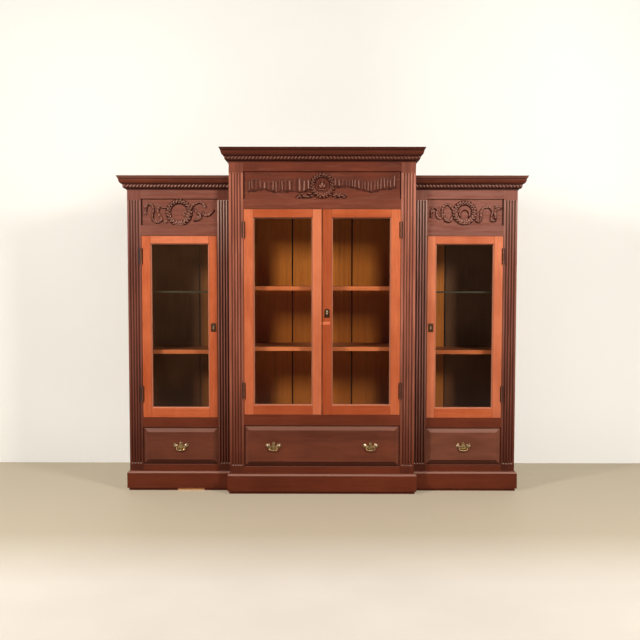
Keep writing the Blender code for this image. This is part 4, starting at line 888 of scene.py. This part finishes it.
def pleats(place, carving, folds, edges):
    """A ribbon in upright folds. Across it, height over the ground is a share of the relief, 1 on a fold's crest and
    least midway to the next, as a power of |cos|; its lower and upper edge follow the given table, and slant in each
    fold."""
    count = len(folds)
    half = np.diff(folds)[[0, -1]] / 2
    knots = np.concatenate([[folds[0] - half[0]], folds, [folds[-1] + half[1]]])
    phase = np.linspace(-0.5, count - 0.5, 10 * count + 1)
    along = np.interp(phase, np.concatenate([[-0.5], np.arange(count), [count - 0.5]]), knots)
    saw = phase - np.floor(phase + 0.5)
    fold = np.clip(np.round(phase).astype(int), 0, count - 1)
    proud = np.random.default_rng(count).uniform(0.55, 1.0, count)[fold]
    crest = np.abs(np.cos(np.pi * phase)) ** 2.2 * proud
    jog = np.where(np.round(phase).astype(int) % 2 == 0, 1.0, -1.0)
    uneven = np.random.default_rng(3 * count).normal(0, 1, (2, count))[:, fold]
    low = np.interp(along, edges[:, 0], edges[:, 1]) + 0.0060 * jog * saw + 0.0026 * uneven[0]
    high = np.interp(along, edges[:, 0], edges[:, 2]) + 0.0044 * jog * saw + 0.0030 * uneven[1]
    up = (1 - np.cos(np.pi * np.linspace(0, 1, 11)))[:, None] / 2
    rim = 1 - np.abs(2 * up - 1) ** 10
    height = (0.0022 + (carving.fold_relief - 0.0022) * crest ** 1.6) * (0.35 + 0.65 * rim)
    ground = place["ground"]
    # Painted shade in the valleys and along both edges; the crests are left for the crests' colour
    return relief(place["middle"][0] + along + 0.0016 * (up - 0.5) * jog, place["middle"][2] + low + (high - low) * up,
                  ground - height, ground + 0.003, np.clip(0.80 - 1.15 * crest * rim, 0, 0.70))


def rope(carving, middle_z, ends, run):
    """A roped bead: a round bead whose radius swells to a strand and shrinks to a groove between strands, following
    |sin| of the distance run less the climb up the bead, over the pitch. run gives a point its place: it takes the
    share along the bead and how far out the point stands, and returns x, y and the distance run."""
    share = np.linspace(0, 1, int(abs(ends[1] - ends[0]) / carving.rope_pitch * 10) + 2)[:, None]
    angle = circle(14)
    climb = ROPE_CLIMB * np.sin(angle)
    distance = np.abs(run(share, np.zeros((1, 14)))[2])
    strand = np.abs(np.sin(np.pi * (distance + climb) / carving.rope_pitch)) ** 1.15
    radius = ROPE_RADIUS - carving.rope_relief * (1 - strand)
    x, y, _ = run(share, ROPE_SEAT + radius * np.cos(angle))
    # Painted shade in the grooves between strands
    return closed_skin(stack(x, y, middle_z + radius * np.sin(angle)), np.clip(1.75 - 2.20 * strand, 0, 1))


def cornice_ropes(section, carving):
    """The rope along a cornice's front and its returns, mitred by letting each point run on as far as it stands out."""
    low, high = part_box(f"{section}_cornice")
    left_mitre, right_mitre = float(section != "right"), float(section != "left")
    left, right = low[0] + CORNICE_REACH * left_mitre, high[0] - CORNICE_REACH * right_mitre
    front, back = low[1] + CORNICE_REACH, high[1]
    centre = {"left": 3.0, "centre": 0.0, "right": -3.0}[section]

    def along_front(share, out):
        start, stop = left - left_mitre * out, right + right_mitre * out
        x = start + (stop - start) * share
        return x, front - out, x - centre

    def along_side(corner, sign):
        def place(share, out):
            start = front - out
            y = start + (back - 0.0005 - start) * share
            return corner + sign * out, y, y - front + 3.0
        return place

    middle_z = CORNICE_BASE[section] + ROPE_RISE
    skins = [rope(carving, middle_z, (left, right), along_front)]
    for corner, sign, mitre in ((left, -1, left_mitre), (right, 1, right_mitre)):
        if mitre:
            skins.append(rope(carving, middle_z, (front, back), along_side(corner, sign)))
    return skins


def turned(profile, centre, sides=20, axis="Z"):
    """A turned shape: each (radius, height) of the profile goes round the axis as a circle."""
    radius, height = np.asarray(profile, float).T[:, :, None]
    across, depth = radius * np.cos(circle(sides)), radius * np.sin(circle(sides))
    return closed_skin(stack(*((across, depth, height) if axis == "Z" else (across, height, depth))) + centre)


def hinge_skins(node):
    """A butt hinge: a barrel of five knuckles with grooves between them and a round pin head at each end, and the
    thin leaves that lie in the joint of the door."""
    low, high, middle, size = span(node)
    radius, half = size[0], size[2] - 0.0022
    knuckle = np.linspace(-half, half, 6)
    profile = [(0.45, -half - 0.0022), (0.80, -half - 0.0014), (0.72, -half)]
    for lower, upper in zip(knuckle[:-1], knuckle[1:]):
        profile += [(0.86, lower + 0.0001), (1, lower + 0.0009), (1, upper - 0.0009), (0.86, upper - 0.0001)]
    profile += [(0.72, half), (0.80, half + 0.0014), (0.45, half + 0.0022)]
    barrel = turned(np.array(profile) * (radius, 1), (middle[0], low[1] + radius, middle[2]))
    x, z = np.meshgrid((middle[0] - 0.0009, middle[0] + 0.0009), (middle[2] - half, middle[2] + half))
    return [barrel, relief(x, z, low[1] + radius, high[1])]


def arched_plate(node, arch):
    """A lock plate: upright sides, a top that rises to an arch, and a face that falls away at its edge."""
    low, high, middle, size = span(node)
    u = np.sin(np.pi / 2 * np.linspace(-1, 1, 21))
    v = (1 - np.cos(np.pi * np.linspace(0, 1, 17)))[:, None] / 2
    edge = np.minimum(1 - np.abs(u), 1.6 * np.minimum(v, 1 - v))
    rise = 0.0016 * np.clip(edge / 0.10, 0, 1) ** 0.6
    return relief(middle[0] + size[0] * u, low[2] + (high[2] - arch * u ** 2 - low[2]) * v, low[1] + 0.0014 - rise,
                  low[1] + 0.0014)


def keyhole_skins(x, y, z, size):
    """A keyhole's raised rim, an oval ring, and the slot in it: a shallow disc painted black as the shade in the hole.
    """
    turn, angle = circle(28)[:, None], circle(8)
    out = size * (1 + 0.30 * np.cos(angle))
    rings = stack(x + 0.50 * out * np.cos(turn), y - 0.0007 * np.sin(angle), z + 1.15 * out * np.sin(turn))
    slot = turned([(size * 0.36, 0.0), (size * 0.36, 0.0006)], (0, 0, 0), 20, "Y")
    slot.points = slot.points * (1.0, -1.0, 2.2) + (x, y, z)
    return Skin(rings, ring_quads(28, 8, wrap_rows=True)), slot


def plate_skin(x, y, z, half_width, half_height, thickness):
    """A bat-wing backplate: at each share across, points run from its lower to its upper edge; the face is crowned
    as sin of the way up, and falls to the back at the edge. The left half mirrors the right one."""
    edges = smooth(PLATE_EDGES, 3)
    across, low, high = np.concatenate([edges[:0:-1] * (-1, 1, 1), edges]).T
    v = (1 - np.cos(np.pi * np.linspace(0, 1, 13)))[:, None] / 2
    crown = np.sin(np.pi * v) ** 0.35 * np.clip((1 - np.abs(across)) / 0.06, 0, 1) ** 0.5
    return relief(x + half_width * across, z + half_height * (low + (high - low) * v),
                  y - thickness * (0.35 + 0.65 * crown), y)


def bail_skin(pivot, half, drop, radius, swell):
    """A cast bail: a round bar along a drooping route from post to post, thickest at the grip, with a bead there."""
    out, down = np.concatenate([BAIL_ROUTE, BAIL_ROUTE[-2::-1] * (-1, 1)]).T
    centre = smooth(stack(half * out, 0.0, -drop * down), 5) + pivot
    side = unit(np.cross(unit(np.gradient(centre, axis=0)), FRONT))
    share = np.linspace(-1, 1, len(centre))
    thick = radius + swell * np.exp(-(share / 0.28) ** 2) + 0.0009 * np.exp(-(share / 0.035) ** 2)
    turn = circle(12)[None, :, None]
    return closed_skin(
        centre[:, None] + thick[:, None, None] * (np.cos(turn) * side[:, None] + np.sin(turn) * FRONT))


class BOOKCASE_OT_mix_finishes(Operator):
    """Mix every wood, metal and glass finish."""

    bl_idname = "bookcase.mix_finishes"
    bl_label = "Mix finishes"

    def execute(self, context):
        fittings = context.scene.bookcase_fittings
        brass, tarnish, bronze, hinge = fittings.brass, fittings.tarnish, fittings.bronze, fittings.hinge_bronze
        carcass_wood("case upright grain", "Z")
        carcass_wood("case level grain", "X")
        carcass_wood("plinth mahogany", "X", 0.95, 0.30, 1.0)
        for name, tones in CARVED.items():
            carved_wood(f"{name} mahogany", *tones)
        for pilaster, shares in FLUTED.items():
            section, front = ("centre", "centre_left") if pilaster.startswith("centre") else ("left", "left_inner")
            fluted_wood(f"{pilaster} fluted mahogany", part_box(f"{front}_pilaster")[0][1],
                        FIELD_LEVELS[section][1] - 0.006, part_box(f"{section}_drawer")[0][2] + 0.0025, *shares)
        shelf_wood("shelf wood")
        board_wood("golden back boards")
        for section, (faded, ledge_dust_and_sheen, old) in SECTION_AGES.items():
            drawer_wood(f"{section} drawer wood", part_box(f"{section}_frieze")[0][1], faded, ledge_dust_and_sheen)
            cornice_wood(f"{section} cornice mahogany", CORNICE_BASE[section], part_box(f"{section}_cornice")[1][2], old)
        for door in DOORS:
            _, _, middle, half = span(f"{door}_door_glass")
            low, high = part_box(f"{door}_door")
            free_x = high[0] if door.endswith("left") else low[0]
            door_wood(f"{door} door wood", middle, half[0] - 0.007, low[1], free_x, DOOR_TONES[door])
        for name, bright, dull, roughness in (
                ("rubbed brass", brass, tarnish, 0.24), ("dark bronze", bronze, darker(bronze, 0.4), 0.45),
                ("hinge bronze", hinge, darker(hinge, 0.5), 0.42),
                # Paler copies of the brass paint highlights on the keyhole rims and the posts
                ("bright brass", (0.900, 0.700, 0.420), brass, 0.30),
                ("bail brass", (0.950, 0.700, 0.360), tarnish, 0.32),
                ("pale brass", (0.820, 0.620, 0.420), tarnish, 0.34),
                ("plate bronze", (0.150, 0.068, 0.038), bronze, 0.45)):
            metal(name, bright, dull, roughness)
        dull_paint("key hole black", (0.006, 0.005, 0.004), 0.7)
        dull_paint("hinge leaf", (0.034, 0.009, 0.004), 0.6)
        for door, dust, clear in zip(DOORS, (0.0, 0.0, 0.0165, 0.0080), (0.94, 0.94, 0.91, 0.91)):
            clear_glass(f"{door} door glass", "X", dust, clear)
        clear_glass("shelf glass", "Y")
        Wood("patch wood", "X", "patch").finish()
        return {"FINISHED"}


class BOOKCASE_OT_finish_case(Operator):
    """Give the case, its mouldings, shelves, boards and doors their finishes."""

    bl_idname = "bookcase.finish_case"
    bl_label = "Finish case and doors"

    def execute(self, context):
        for side in ("left", "right"):
            dress(f"{side}_case_side", f"{side} outer fluted mahogany")
            dress(f"{side}_inner_pilaster", f"{side} inner fluted mahogany")
            dress(f"{side}_partition", "case upright grain")
            dress(f"centre_{side}_pilaster", f"centre {side} fluted mahogany")
            dress(f"{side}_wood_shelf", "shelf wood")
            dress(f"{side}_glass_shelf", "shelf glass")
        for section in SECTIONS:
            dress(f"{section}_bottom_board", "case level grain")
            dress(f"{section}_compartment_floor", "case level grain")
            dress(f"{section}_plinth", "plinth mahogany")
            dress(f"{section}_cornice", f"{section} cornice mahogany")
            dress(f"{section}_drawer", f"{section} drawer wood")
        dress("back_boards", "golden back boards")
        dress("centre_upper_shelf", "shelf wood")
        dress("centre_lower_shelf", "shelf wood")
        for door in DOORS:
            dress(f"{door}_door", f"{door} door wood")
            dress(f"{door}_door_glass", f"{door} door glass")
        return {"FINISHED"}


class BOOKCASE_OT_rope_cornices(Operator):
    """Carve the roped bead under each cornice."""

    bl_idname = "bookcase.rope_cornices"
    bl_label = "Rope the cornices"

    def execute(self, context):
        for section, kind in zip(SECTIONS, ("wing", "centre", "wing")):
            add_piece(f"{section}_cornice_rope", cornice_ropes(section, context.scene.bookcase_carving),
                      f"{kind} rope mahogany", "case", 75.0)
        return {"FINISHED"}


class BOOKCASE_OT_carve_wing_friezes(Operator):
    """Carve the wings' friezes: a wreath between twisting ribbon scrolls."""

    bl_idname = "bookcase.carve_wing_friezes"
    bl_label = "Carve wing friezes"

    def execute(self, context):
        carving = context.scene.bookcase_carving
        rng = np.random.default_rng(5)
        turn = np.linspace(-0.5, np.pi + 0.5, 9)
        arch = stack(0.0240 * np.cos(turn), -0.009 + 0.0240 * np.sin(turn))
        petals = circle(5)
        spread = np.linspace(-1, 1, 7)
        for number, (section, ring, aside, side_shadow_reaches) in enumerate((
                ("left", 0.053, 0.0, (0.0105, 0.0030)), ("right", 0.0475, -0.0040, (0.0030, 0.0115)))):
            place = field_of(section)
            # Round spots where old polish and painted shadow lie on the board
            tracks = [ring_spots(ring, 0.0118) + (aside, 0.0, 0.0)]
            tracks += [spots_along(route, 0.0048) for route in SCROLLS[section]]
            if section == "right":
                tracks.append(spots_along(arch + (aside, 0.0), 0.0044))
            carve(section, "board", [frieze_board(place, 260, np.concatenate(tracks), side_shadow_reaches)], 30.0,
                  (f"{section}_frieze",))
            ribbons = []
            for index, route in enumerate(SCROLLS[section]):
                ribbons += ribbon_scroll(place, carving, route, 20 * number + index)
            for point in BUNCHES[section]:
                spin = rng.uniform(0, 6.28)
                tips = point + 0.0052 * stack(np.cos(petals), np.sin(petals))
                ribbons.append(leaf_spray(place, tips, petals + spin, 0.0115, 0.0055))
                ribbons.append(berries(place, point[None], 0.0030, 0.0085))
            carve(section, "ribbons", ribbons)
            place["middle"] = place["middle"] + (aside, 0.0, 0.0)
            parts = wreath(place, carving, ring, number)
            foot = stack(0.024 * spread, -0.007 - ring + 0.008 * spread ** 2)
            parts.append(leaf_spray(place, foot, np.pi / 2 + 0.9 * spread, 0.015, 0.0075))
            if section == "left":
                twig = mm(((20, -4), (30, 2), (40, -6), (24, -16), (36, -18)))
                parts.append(leaf_spray(place, twig, rng.uniform(-0.6, 1.2, 5), 0.014))
                parts.append(berries(place, twig[:3] + (0.004, -0.006), 0.0034))
            else:
                parts.append(band(on_field(place, arch, 0.0045), lambda s: 0.0090 + 0 * s, lambda s: 0.3 + 0 * s,
                                  0.0055))
                parts.append(leaf_spray(place, stack(0.0255 * spread, -0.038), np.full(7, np.pi / 2), 0.0180, 0.0085))
            carve(section, "wreath", parts)
        return {"FINISHED"}


class BOOKCASE_OT_carve_centre_frieze(Operator):
    """Carve the centre frieze: a wreath, folded ribbons to both sides and leaf sprays under them."""

    bl_idname = "bookcase.carve_centre_frieze"
    bl_label = "Carve centre frieze"

    def execute(self, context):
        carving = context.scene.bookcase_carving
        place = field_of("centre")
        ring = 0.049
        tracks = [ring_spots(ring, 0.0108)]
        # Painted shadow under the folds' lower edges and the sprays
        for edges in (LEFT_EDGES, RIGHT_EDGES):
            across = np.linspace(edges[0, 0], edges[-1, 0], 90)
            hem = np.interp(across, edges[:, 0], edges[:, 1])
            tracks.append(stack(across, hem, 0.0010 + 0.0024 * np.sin(across * 140) * np.sin(across * 63)))
        for spray in (((-118, -54), (-85, -52), (-55, -50)), ((106, -52), (80, -52), (55, -50))):
            tracks.append(spots_along(mm(spray), 0.0090))
        carve("centre", "board", [frieze_board(place, 380, np.concatenate(tracks), (0.0055, 0.0065))], 30.0,
              ("centre_frieze",))
        carve("centre", "folds", [pleats(place, carving, LEFT_FOLDS, LEFT_EDGES),
                                  pleats(place, carving, RIGHT_FOLDS, RIGHT_EDGES)], 50.0)
        parts = wreath(place, carving, ring, 7)
        rng = np.random.default_rng(11)
        count = 15
        for sign, reach in ((-1, 0.118), (1, 0.106)):
            across = sign * np.linspace(0.052, reach, count)
            points = stack(across, -0.046 - 0.008 * np.abs(across) / 0.1 + rng.normal(0, 0.0075, count))
            turns = (0.0 if sign > 0 else np.pi) + rng.uniform(-1.1, 1.1, count)
            parts.append(leaf_spray(place, points, turns, 0.0150, 0.0035))
            parts.append(berries(place, points[::2] + rng.normal(0, 0.005, (8, 2)), 0.0036, 0.0045))
        parts.append(leaf_spray(place, mm(((0, 4), (-10, -4), (10, -4))), np.array((1.571, 2.05, 1.09)),
                                mm((44, 34, 34)), 0.003))
        parts.append(berries(place, stack(np.linspace(-0.014, 0.014, 5), -0.022), 0.0040))
        carve("centre", "wreath", parts)
        return {"FINISHED"}


class BOOKCASE_OT_hang_hinges(Operator):
    """Make the eight butt hinges."""

    bl_idname = "bookcase.hang_hinges"
    bl_label = "Hang hinges"

    def execute(self, context):
        for door in DOORS:
            door_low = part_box(f"{door}_door")[0]
            for node in (f"{door}_upper_hinge", f"{door}_lower_hinge"):
                add_piece(f"{node}_barrel", hinge_skins(node), "hinge bronze", "case", 35.0, (node,))
                low, high, middle, half = span(node)
                outward = -1 if middle[0] < door_low[0] + 0.02 else 1
                # Dark strips beside each barrel, on the case and on the door: painted shade of the hinge's mortise
                for side, kind, body, reach in (
                        (outward, "case", "case", 0.0105 if door == "left" else 0.0050),
                        (-outward, "door", f"{door}_door", 0.0030)):
                    ends = sorted((middle[0] + side * 0.0022, middle[0] + side * (half[0] + reach)))
                    x, z = np.meshgrid(np.linspace(*ends, 4), np.linspace(low[2] + 0.002, high[2] - 0.002, 12))
                    face = door_low[1] - 0.0003 - 0.0001 * np.sin(z * 900)
                    add_piece(f"{node}_{kind}_leaf", [relief(x, z, face, face.max() + 0.0012)], "hinge leaf", body)
        return {"FINISHED"}


class BOOKCASE_OT_fit_locks(Operator):
    """Make the lock plates with their keyholes, and the patch let in under the centre one."""

    bl_idname = "bookcase.fit_locks"
    bl_label = "Fit locks"

    def execute(self, context):
        for name, door, arch, finish_name, rise, size in (
                ("left", "left_door", 0.002, "plate bronze", 0.0, 0.0050),
                ("centre", "centre_right_door", 0.008, "dark bronze", 0.004, 0.0064),
                ("right", "right_door", 0.002, "plate bronze", 0.0, 0.0050)):
            node = f"{name}_lock"
            low, _, middle, _ = span(node)
            add_piece(f"{node}_plate", [arched_plate(node, arch)], finish_name, door, 50.0, (node,))
            rim, slot = keyhole_skins(middle[0], low[1] - 0.0002, middle[2] + rise, size)
            # The keyhole rim's paler brass is a painted highlight
            add_piece(f"{node}_rim", [rim], "bright brass", door, 60.0)
            # The keyhole slot is a black disc: painted shade
            add_piece(f"{node}_keyhole", [slot], "key hole black", door, 60.0)
        for door, left, right, bottom, top in (("centre_right_door", 0.0030, 0.0384, 0.8256, 0.8396),
                                               ("centre_left_door", -0.0087, -0.0012, 0.8286, 0.8372)):
            x, z = np.meshgrid(np.linspace(left, right, 9), np.linspace(bottom, top, 5))
            across, up = (x - left) / (right - left), (z - bottom) / (top - bottom)
            edge = np.minimum(np.minimum(across, 1 - across) * 6, np.minimum(up, 1 - up) * 3).clip(0, 1)
            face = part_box(door)[0][1]
            patch = relief(x + 0.0006 * np.sin(9 * up), z, face - 0.0003 * edge, face + 0.0004)
            add_piece(f"{door}_patch", [patch], "patch wood", door, 60.0)
        return {"FINISHED"}


class BOOKCASE_OT_fit_pulls(Operator):
    """Make the four bat-wing pulls: backplate, turned posts and swinging bail."""

    bl_idname = "bookcase.fit_pulls"
    bl_label = "Fit pulls"

    def execute(self, context):
        fittings = context.scene.bookcase_fittings
        radius = fittings.bail_radius
        for pull, drawer in (("left", "left_drawer"), ("centre_left", "centre_drawer"),
                             ("centre_right", "centre_drawer"), ("right", "right_drawer")):
            plate, bail = f"{pull}_pull_plate", f"{pull}_pull_bail"
            low, high, middle, size = span(plate)
            bail_low, bail_high, bail_middle, _ = span(bail)
            pivot = np.array((middle[0], bail_middle[1], bail_high[2] - radius))
            profile = [(0.0078, high[1] - 0.0005), (0.0078, high[1] - 0.0030), (0.0066, high[1] - 0.0042),
                       (0.0040, high[1] - 0.0050), (0.0036, high[1] - 0.0062), (0.0046, high[1] - 0.0076),
                       (0.0046, low[1] + 0.0014), (0.0036, low[1] + 0.0004), (0.0018, low[1])]
            posts = [turned(profile, (middle[0] + side, 0, pivot[2]), 18, "Y") for side in (-POST_ASIDE, POST_ASIDE)]
            face = plate_skin(middle[0], high[1], middle[2], size[0], size[2], fittings.plate_thickness)
            add_piece(f"{plate}_casting", [face], "rubbed brass", drawer, 50.0, (plate,))
            # The posts' paler brass is a painted highlight
            add_piece(f"{plate}_posts", posts, "pale brass", drawer, 50.0)
            loop = bail_skin(pivot, GRIP_HALF, pivot[2] - bail_low[2] - radius, radius, fittings.bail_swell)
            add_piece(f"{bail}_casting", [loop], "bail brass", f"{pull}_bail", 50.0, (bail,))
        return {"FINISHED"}


class BOOKCASE_OT_set_stage(Operator):
    """Lay the floor, raise the wall, and set the lamps and the camera."""

    bl_idname = "bookcase.set_stage"
    bl_label = "Set stage"

    def execute(self, context):
        scene, room = context.scene, context.scene.bookcase_room
        far = room.wall_distance
        self.surface("floor", room.floor, 2.4, [(-9, -9, 0), (9, -9, 0), (9, 9, 0), (-9, 9, 0)], 0.36, False)
        self.surface("wall", room.wall, 0.75, [(-9, far, 0), (9, far, 0), (9, far, 6), (-9, far, 6)], 0.20, True)
        self.lamp(scene, "left lamp", room, -1, room.left_turn)
        self.lamp(scene, "right lamp", room, 1, room.right_turn)
        self.sky(scene, room)
        self.camera(scene, room)
        scene.view_settings.view_transform = "Standard"
        return {"FINISHED"}

    def surface(self, name, colour, scale, corners, glow, upright):
        """A flat plain backdrop with faint clouds. Its glow makes it paler to the camera without lighting anything,
        and an upright one isn't there when seen from behind. On the wall the glow is painted light, stronger low down
        and to the right. The floor turns browner towards the wall."""
        mesh = bpy.data.meshes.new(name)
        mesh.from_pydata(corners, [], [(0, 1, 2, 3)])
        recipe = Recipe(name)
        mixed = recipe.blend(recipe.noise(scale, 5.0).within(0.3, 0.7), darker(colour, 0.93), colour)
        path = recipe.add("ShaderNodeLightPath").outputs
        strength = Value(recipe, path["Is Camera Ray"]).by("MAXIMUM", Value(recipe, path["Is Transmission Ray"]))
        if upright:
            # Painted light: the wall glows more low down and to the right
            low = recipe.z.within(1.30, 0.30) * 0.15 + recipe.x.within(0.2, 1.6) * 0.10
            strength = strength * (low + glow)
        else:
            tan = tuple(part * share for part, share in zip(colour, (0.69, 0.64, 0.52)))
            mixed = recipe.blend(recipe.y.within(-1.30, -0.75) * 0.92, mixed, tan)
            strength = strength * glow
        pale = recipe.add("ShaderNodeEmission", {"Color": mixed, "Strength": strength})
        shader = recipe.add("ShaderNodeAddShader", {0: recipe.shine(mixed, 0.6), 1: pale})
        if upright:
            behind = recipe.value("ShaderNodeNewGeometry", out="Backfacing")
            shader = recipe.mixed(behind, shader, recipe.add("ShaderNodeBsdfTransparent"))
        mesh.materials.append(recipe.close(shader))
        piece = bpy.data.objects.new(name, mesh)
        bpy.context.scene.collection.objects.link(piece)

    def lamp(self, scene, name, room, sign, turn):
        """A tall soft lamp to one side, in front and above, turned to the object's middle."""
        light = bpy.data.lights.new(name, "AREA")
        light.shape = "RECTANGLE"
        light.energy, light.size, light.size_y = room.lamp_power, room.lamp_width, room.lamp_height
        light.color = LAMP_COLOUR
        level = math.cos(room.lamp_lift)
        back = np.array((sign * math.sin(turn) * level, -math.cos(turn) * level, math.sin(room.lamp_lift)))
        side = unit(np.cross(UP, back))
        lamp = bpy.data.objects.new(name, light)
        lamp.matrix_world = self.placed(LAMP_AIM + back * room.lamp_distance, side, np.cross(back, side), back)
        scene.collection.objects.link(lamp)

    def placed(self, place, *axes):
        return Matrix.Translation(place) @ Matrix(np.stack(axes, -1).tolist()).to_4x4()

    def sky(self, scene, room):
        """Even light from all round, while the camera sees a plain off-white behind everything."""
        world = bpy.data.worlds.new("room light")
        scene.world = world
        world.use_nodes = True
        tree = world.node_tree
        tree.nodes.clear()
        path, light, seen, mix, output = (tree.nodes.new(f"ShaderNode{kind}") for kind in (
            "LightPath", "Background", "Background", "MixShader", "OutputWorld"))
        light.inputs["Strength"].default_value = room.ambient
        seen.inputs["Color"].default_value = solid(room.wall)
        for number, source in enumerate((path.outputs["Is Camera Ray"], light.outputs[0], seen.outputs[0])):
            tree.links.new(source, mix.inputs[number])
        tree.links.new(mix.outputs[0], output.inputs["Surface"])

    def camera(self, scene, room):
        """The photograph's camera: in front, at chest height, turned by small angles down, left and about its axis."""
        down, aside, roll = (math.radians(turn) for turn in CAMERA_TURNS)
        ahead = np.array((math.sin(aside) * math.cos(down), math.cos(aside) * math.cos(down), -math.sin(down)))
        right = np.array((math.cos(aside), -math.sin(aside), 0.0))
        below = np.cross(ahead, right)
        across = math.cos(roll) * right - math.sin(roll) * below
        upward = -(math.sin(roll) * right + math.cos(roll) * below)
        lens = bpy.data.cameras.new("camera")
        lens.lens, lens.sensor_width = room.lens, 36.0
        camera = bpy.data.objects.new("camera", lens)
        camera.matrix_world = self.placed(CAMERA_PLACE, across, upward, -ahead)
        scene.collection.objects.link(camera)
        scene.camera = camera


STEPS = (
    BOOKCASE_OT_mix_finishes, BOOKCASE_OT_finish_case, BOOKCASE_OT_rope_cornices, BOOKCASE_OT_carve_wing_friezes,
    BOOKCASE_OT_carve_centre_frieze, BOOKCASE_OT_hang_hinges, BOOKCASE_OT_fit_locks, BOOKCASE_OT_fit_pulls,
    BOOKCASE_OT_set_stage,
)
SETTINGS = {
    "bookcase_woods": BookcaseWoods, "bookcase_fittings": BookcaseFittings, "bookcase_carving": BookcaseCarving,
    "bookcase_room": BookcaseRoom,
}


class BOOKCASE_PT_looks(Panel):
    """Lists the steps that dress the bookcase, and the settings that they read."""

    bl_idname = "BOOKCASE_PT_looks"
    bl_label = "Bookcase"
    bl_space_type = "VIEW_3D"
    bl_region_type = "UI"
    bl_category = "Bookcase"

    def draw(self, context):
        for step in STEPS:
            self.layout.operator(step.bl_idname)
        for name, group in SETTINGS.items():
            box = self.layout.box()
            for setting in group.__annotations__:
                box.prop(getattr(context.scene, name), setting)


def register():
    for group in SETTINGS.values():
        bpy.utils.register_class(group)
    for name, group in SETTINGS.items():
        setattr(bpy.types.Scene, name, PointerProperty(type=group))
    for step in STEPS:
        bpy.utils.register_class(step)
    bpy.utils.register_class(BOOKCASE_PT_looks)


def unregister():
    bpy.utils.unregister_class(BOOKCASE_PT_looks)
    for step in reversed(STEPS):
        bpy.utils.unregister_class(step)
    for name, group in SETTINGS.items():
        delattr(bpy.types.Scene, name)
        bpy.utils.unregister_class(group)


def main():
    register()
    bpy.ops.bookcase.mix_finishes()
    bpy.ops.bookcase.finish_case()
    bpy.ops.bookcase.rope_cornices()
    bpy.ops.bookcase.carve_wing_friezes()
    bpy.ops.bookcase.carve_centre_frieze()
    bpy.ops.bookcase.hang_hinges()
    bpy.ops.bookcase.fit_locks()
    bpy.ops.bookcase.fit_pulls()
    bpy.ops.bookcase.set_stage()


if __name__ == "__main__":
    main()
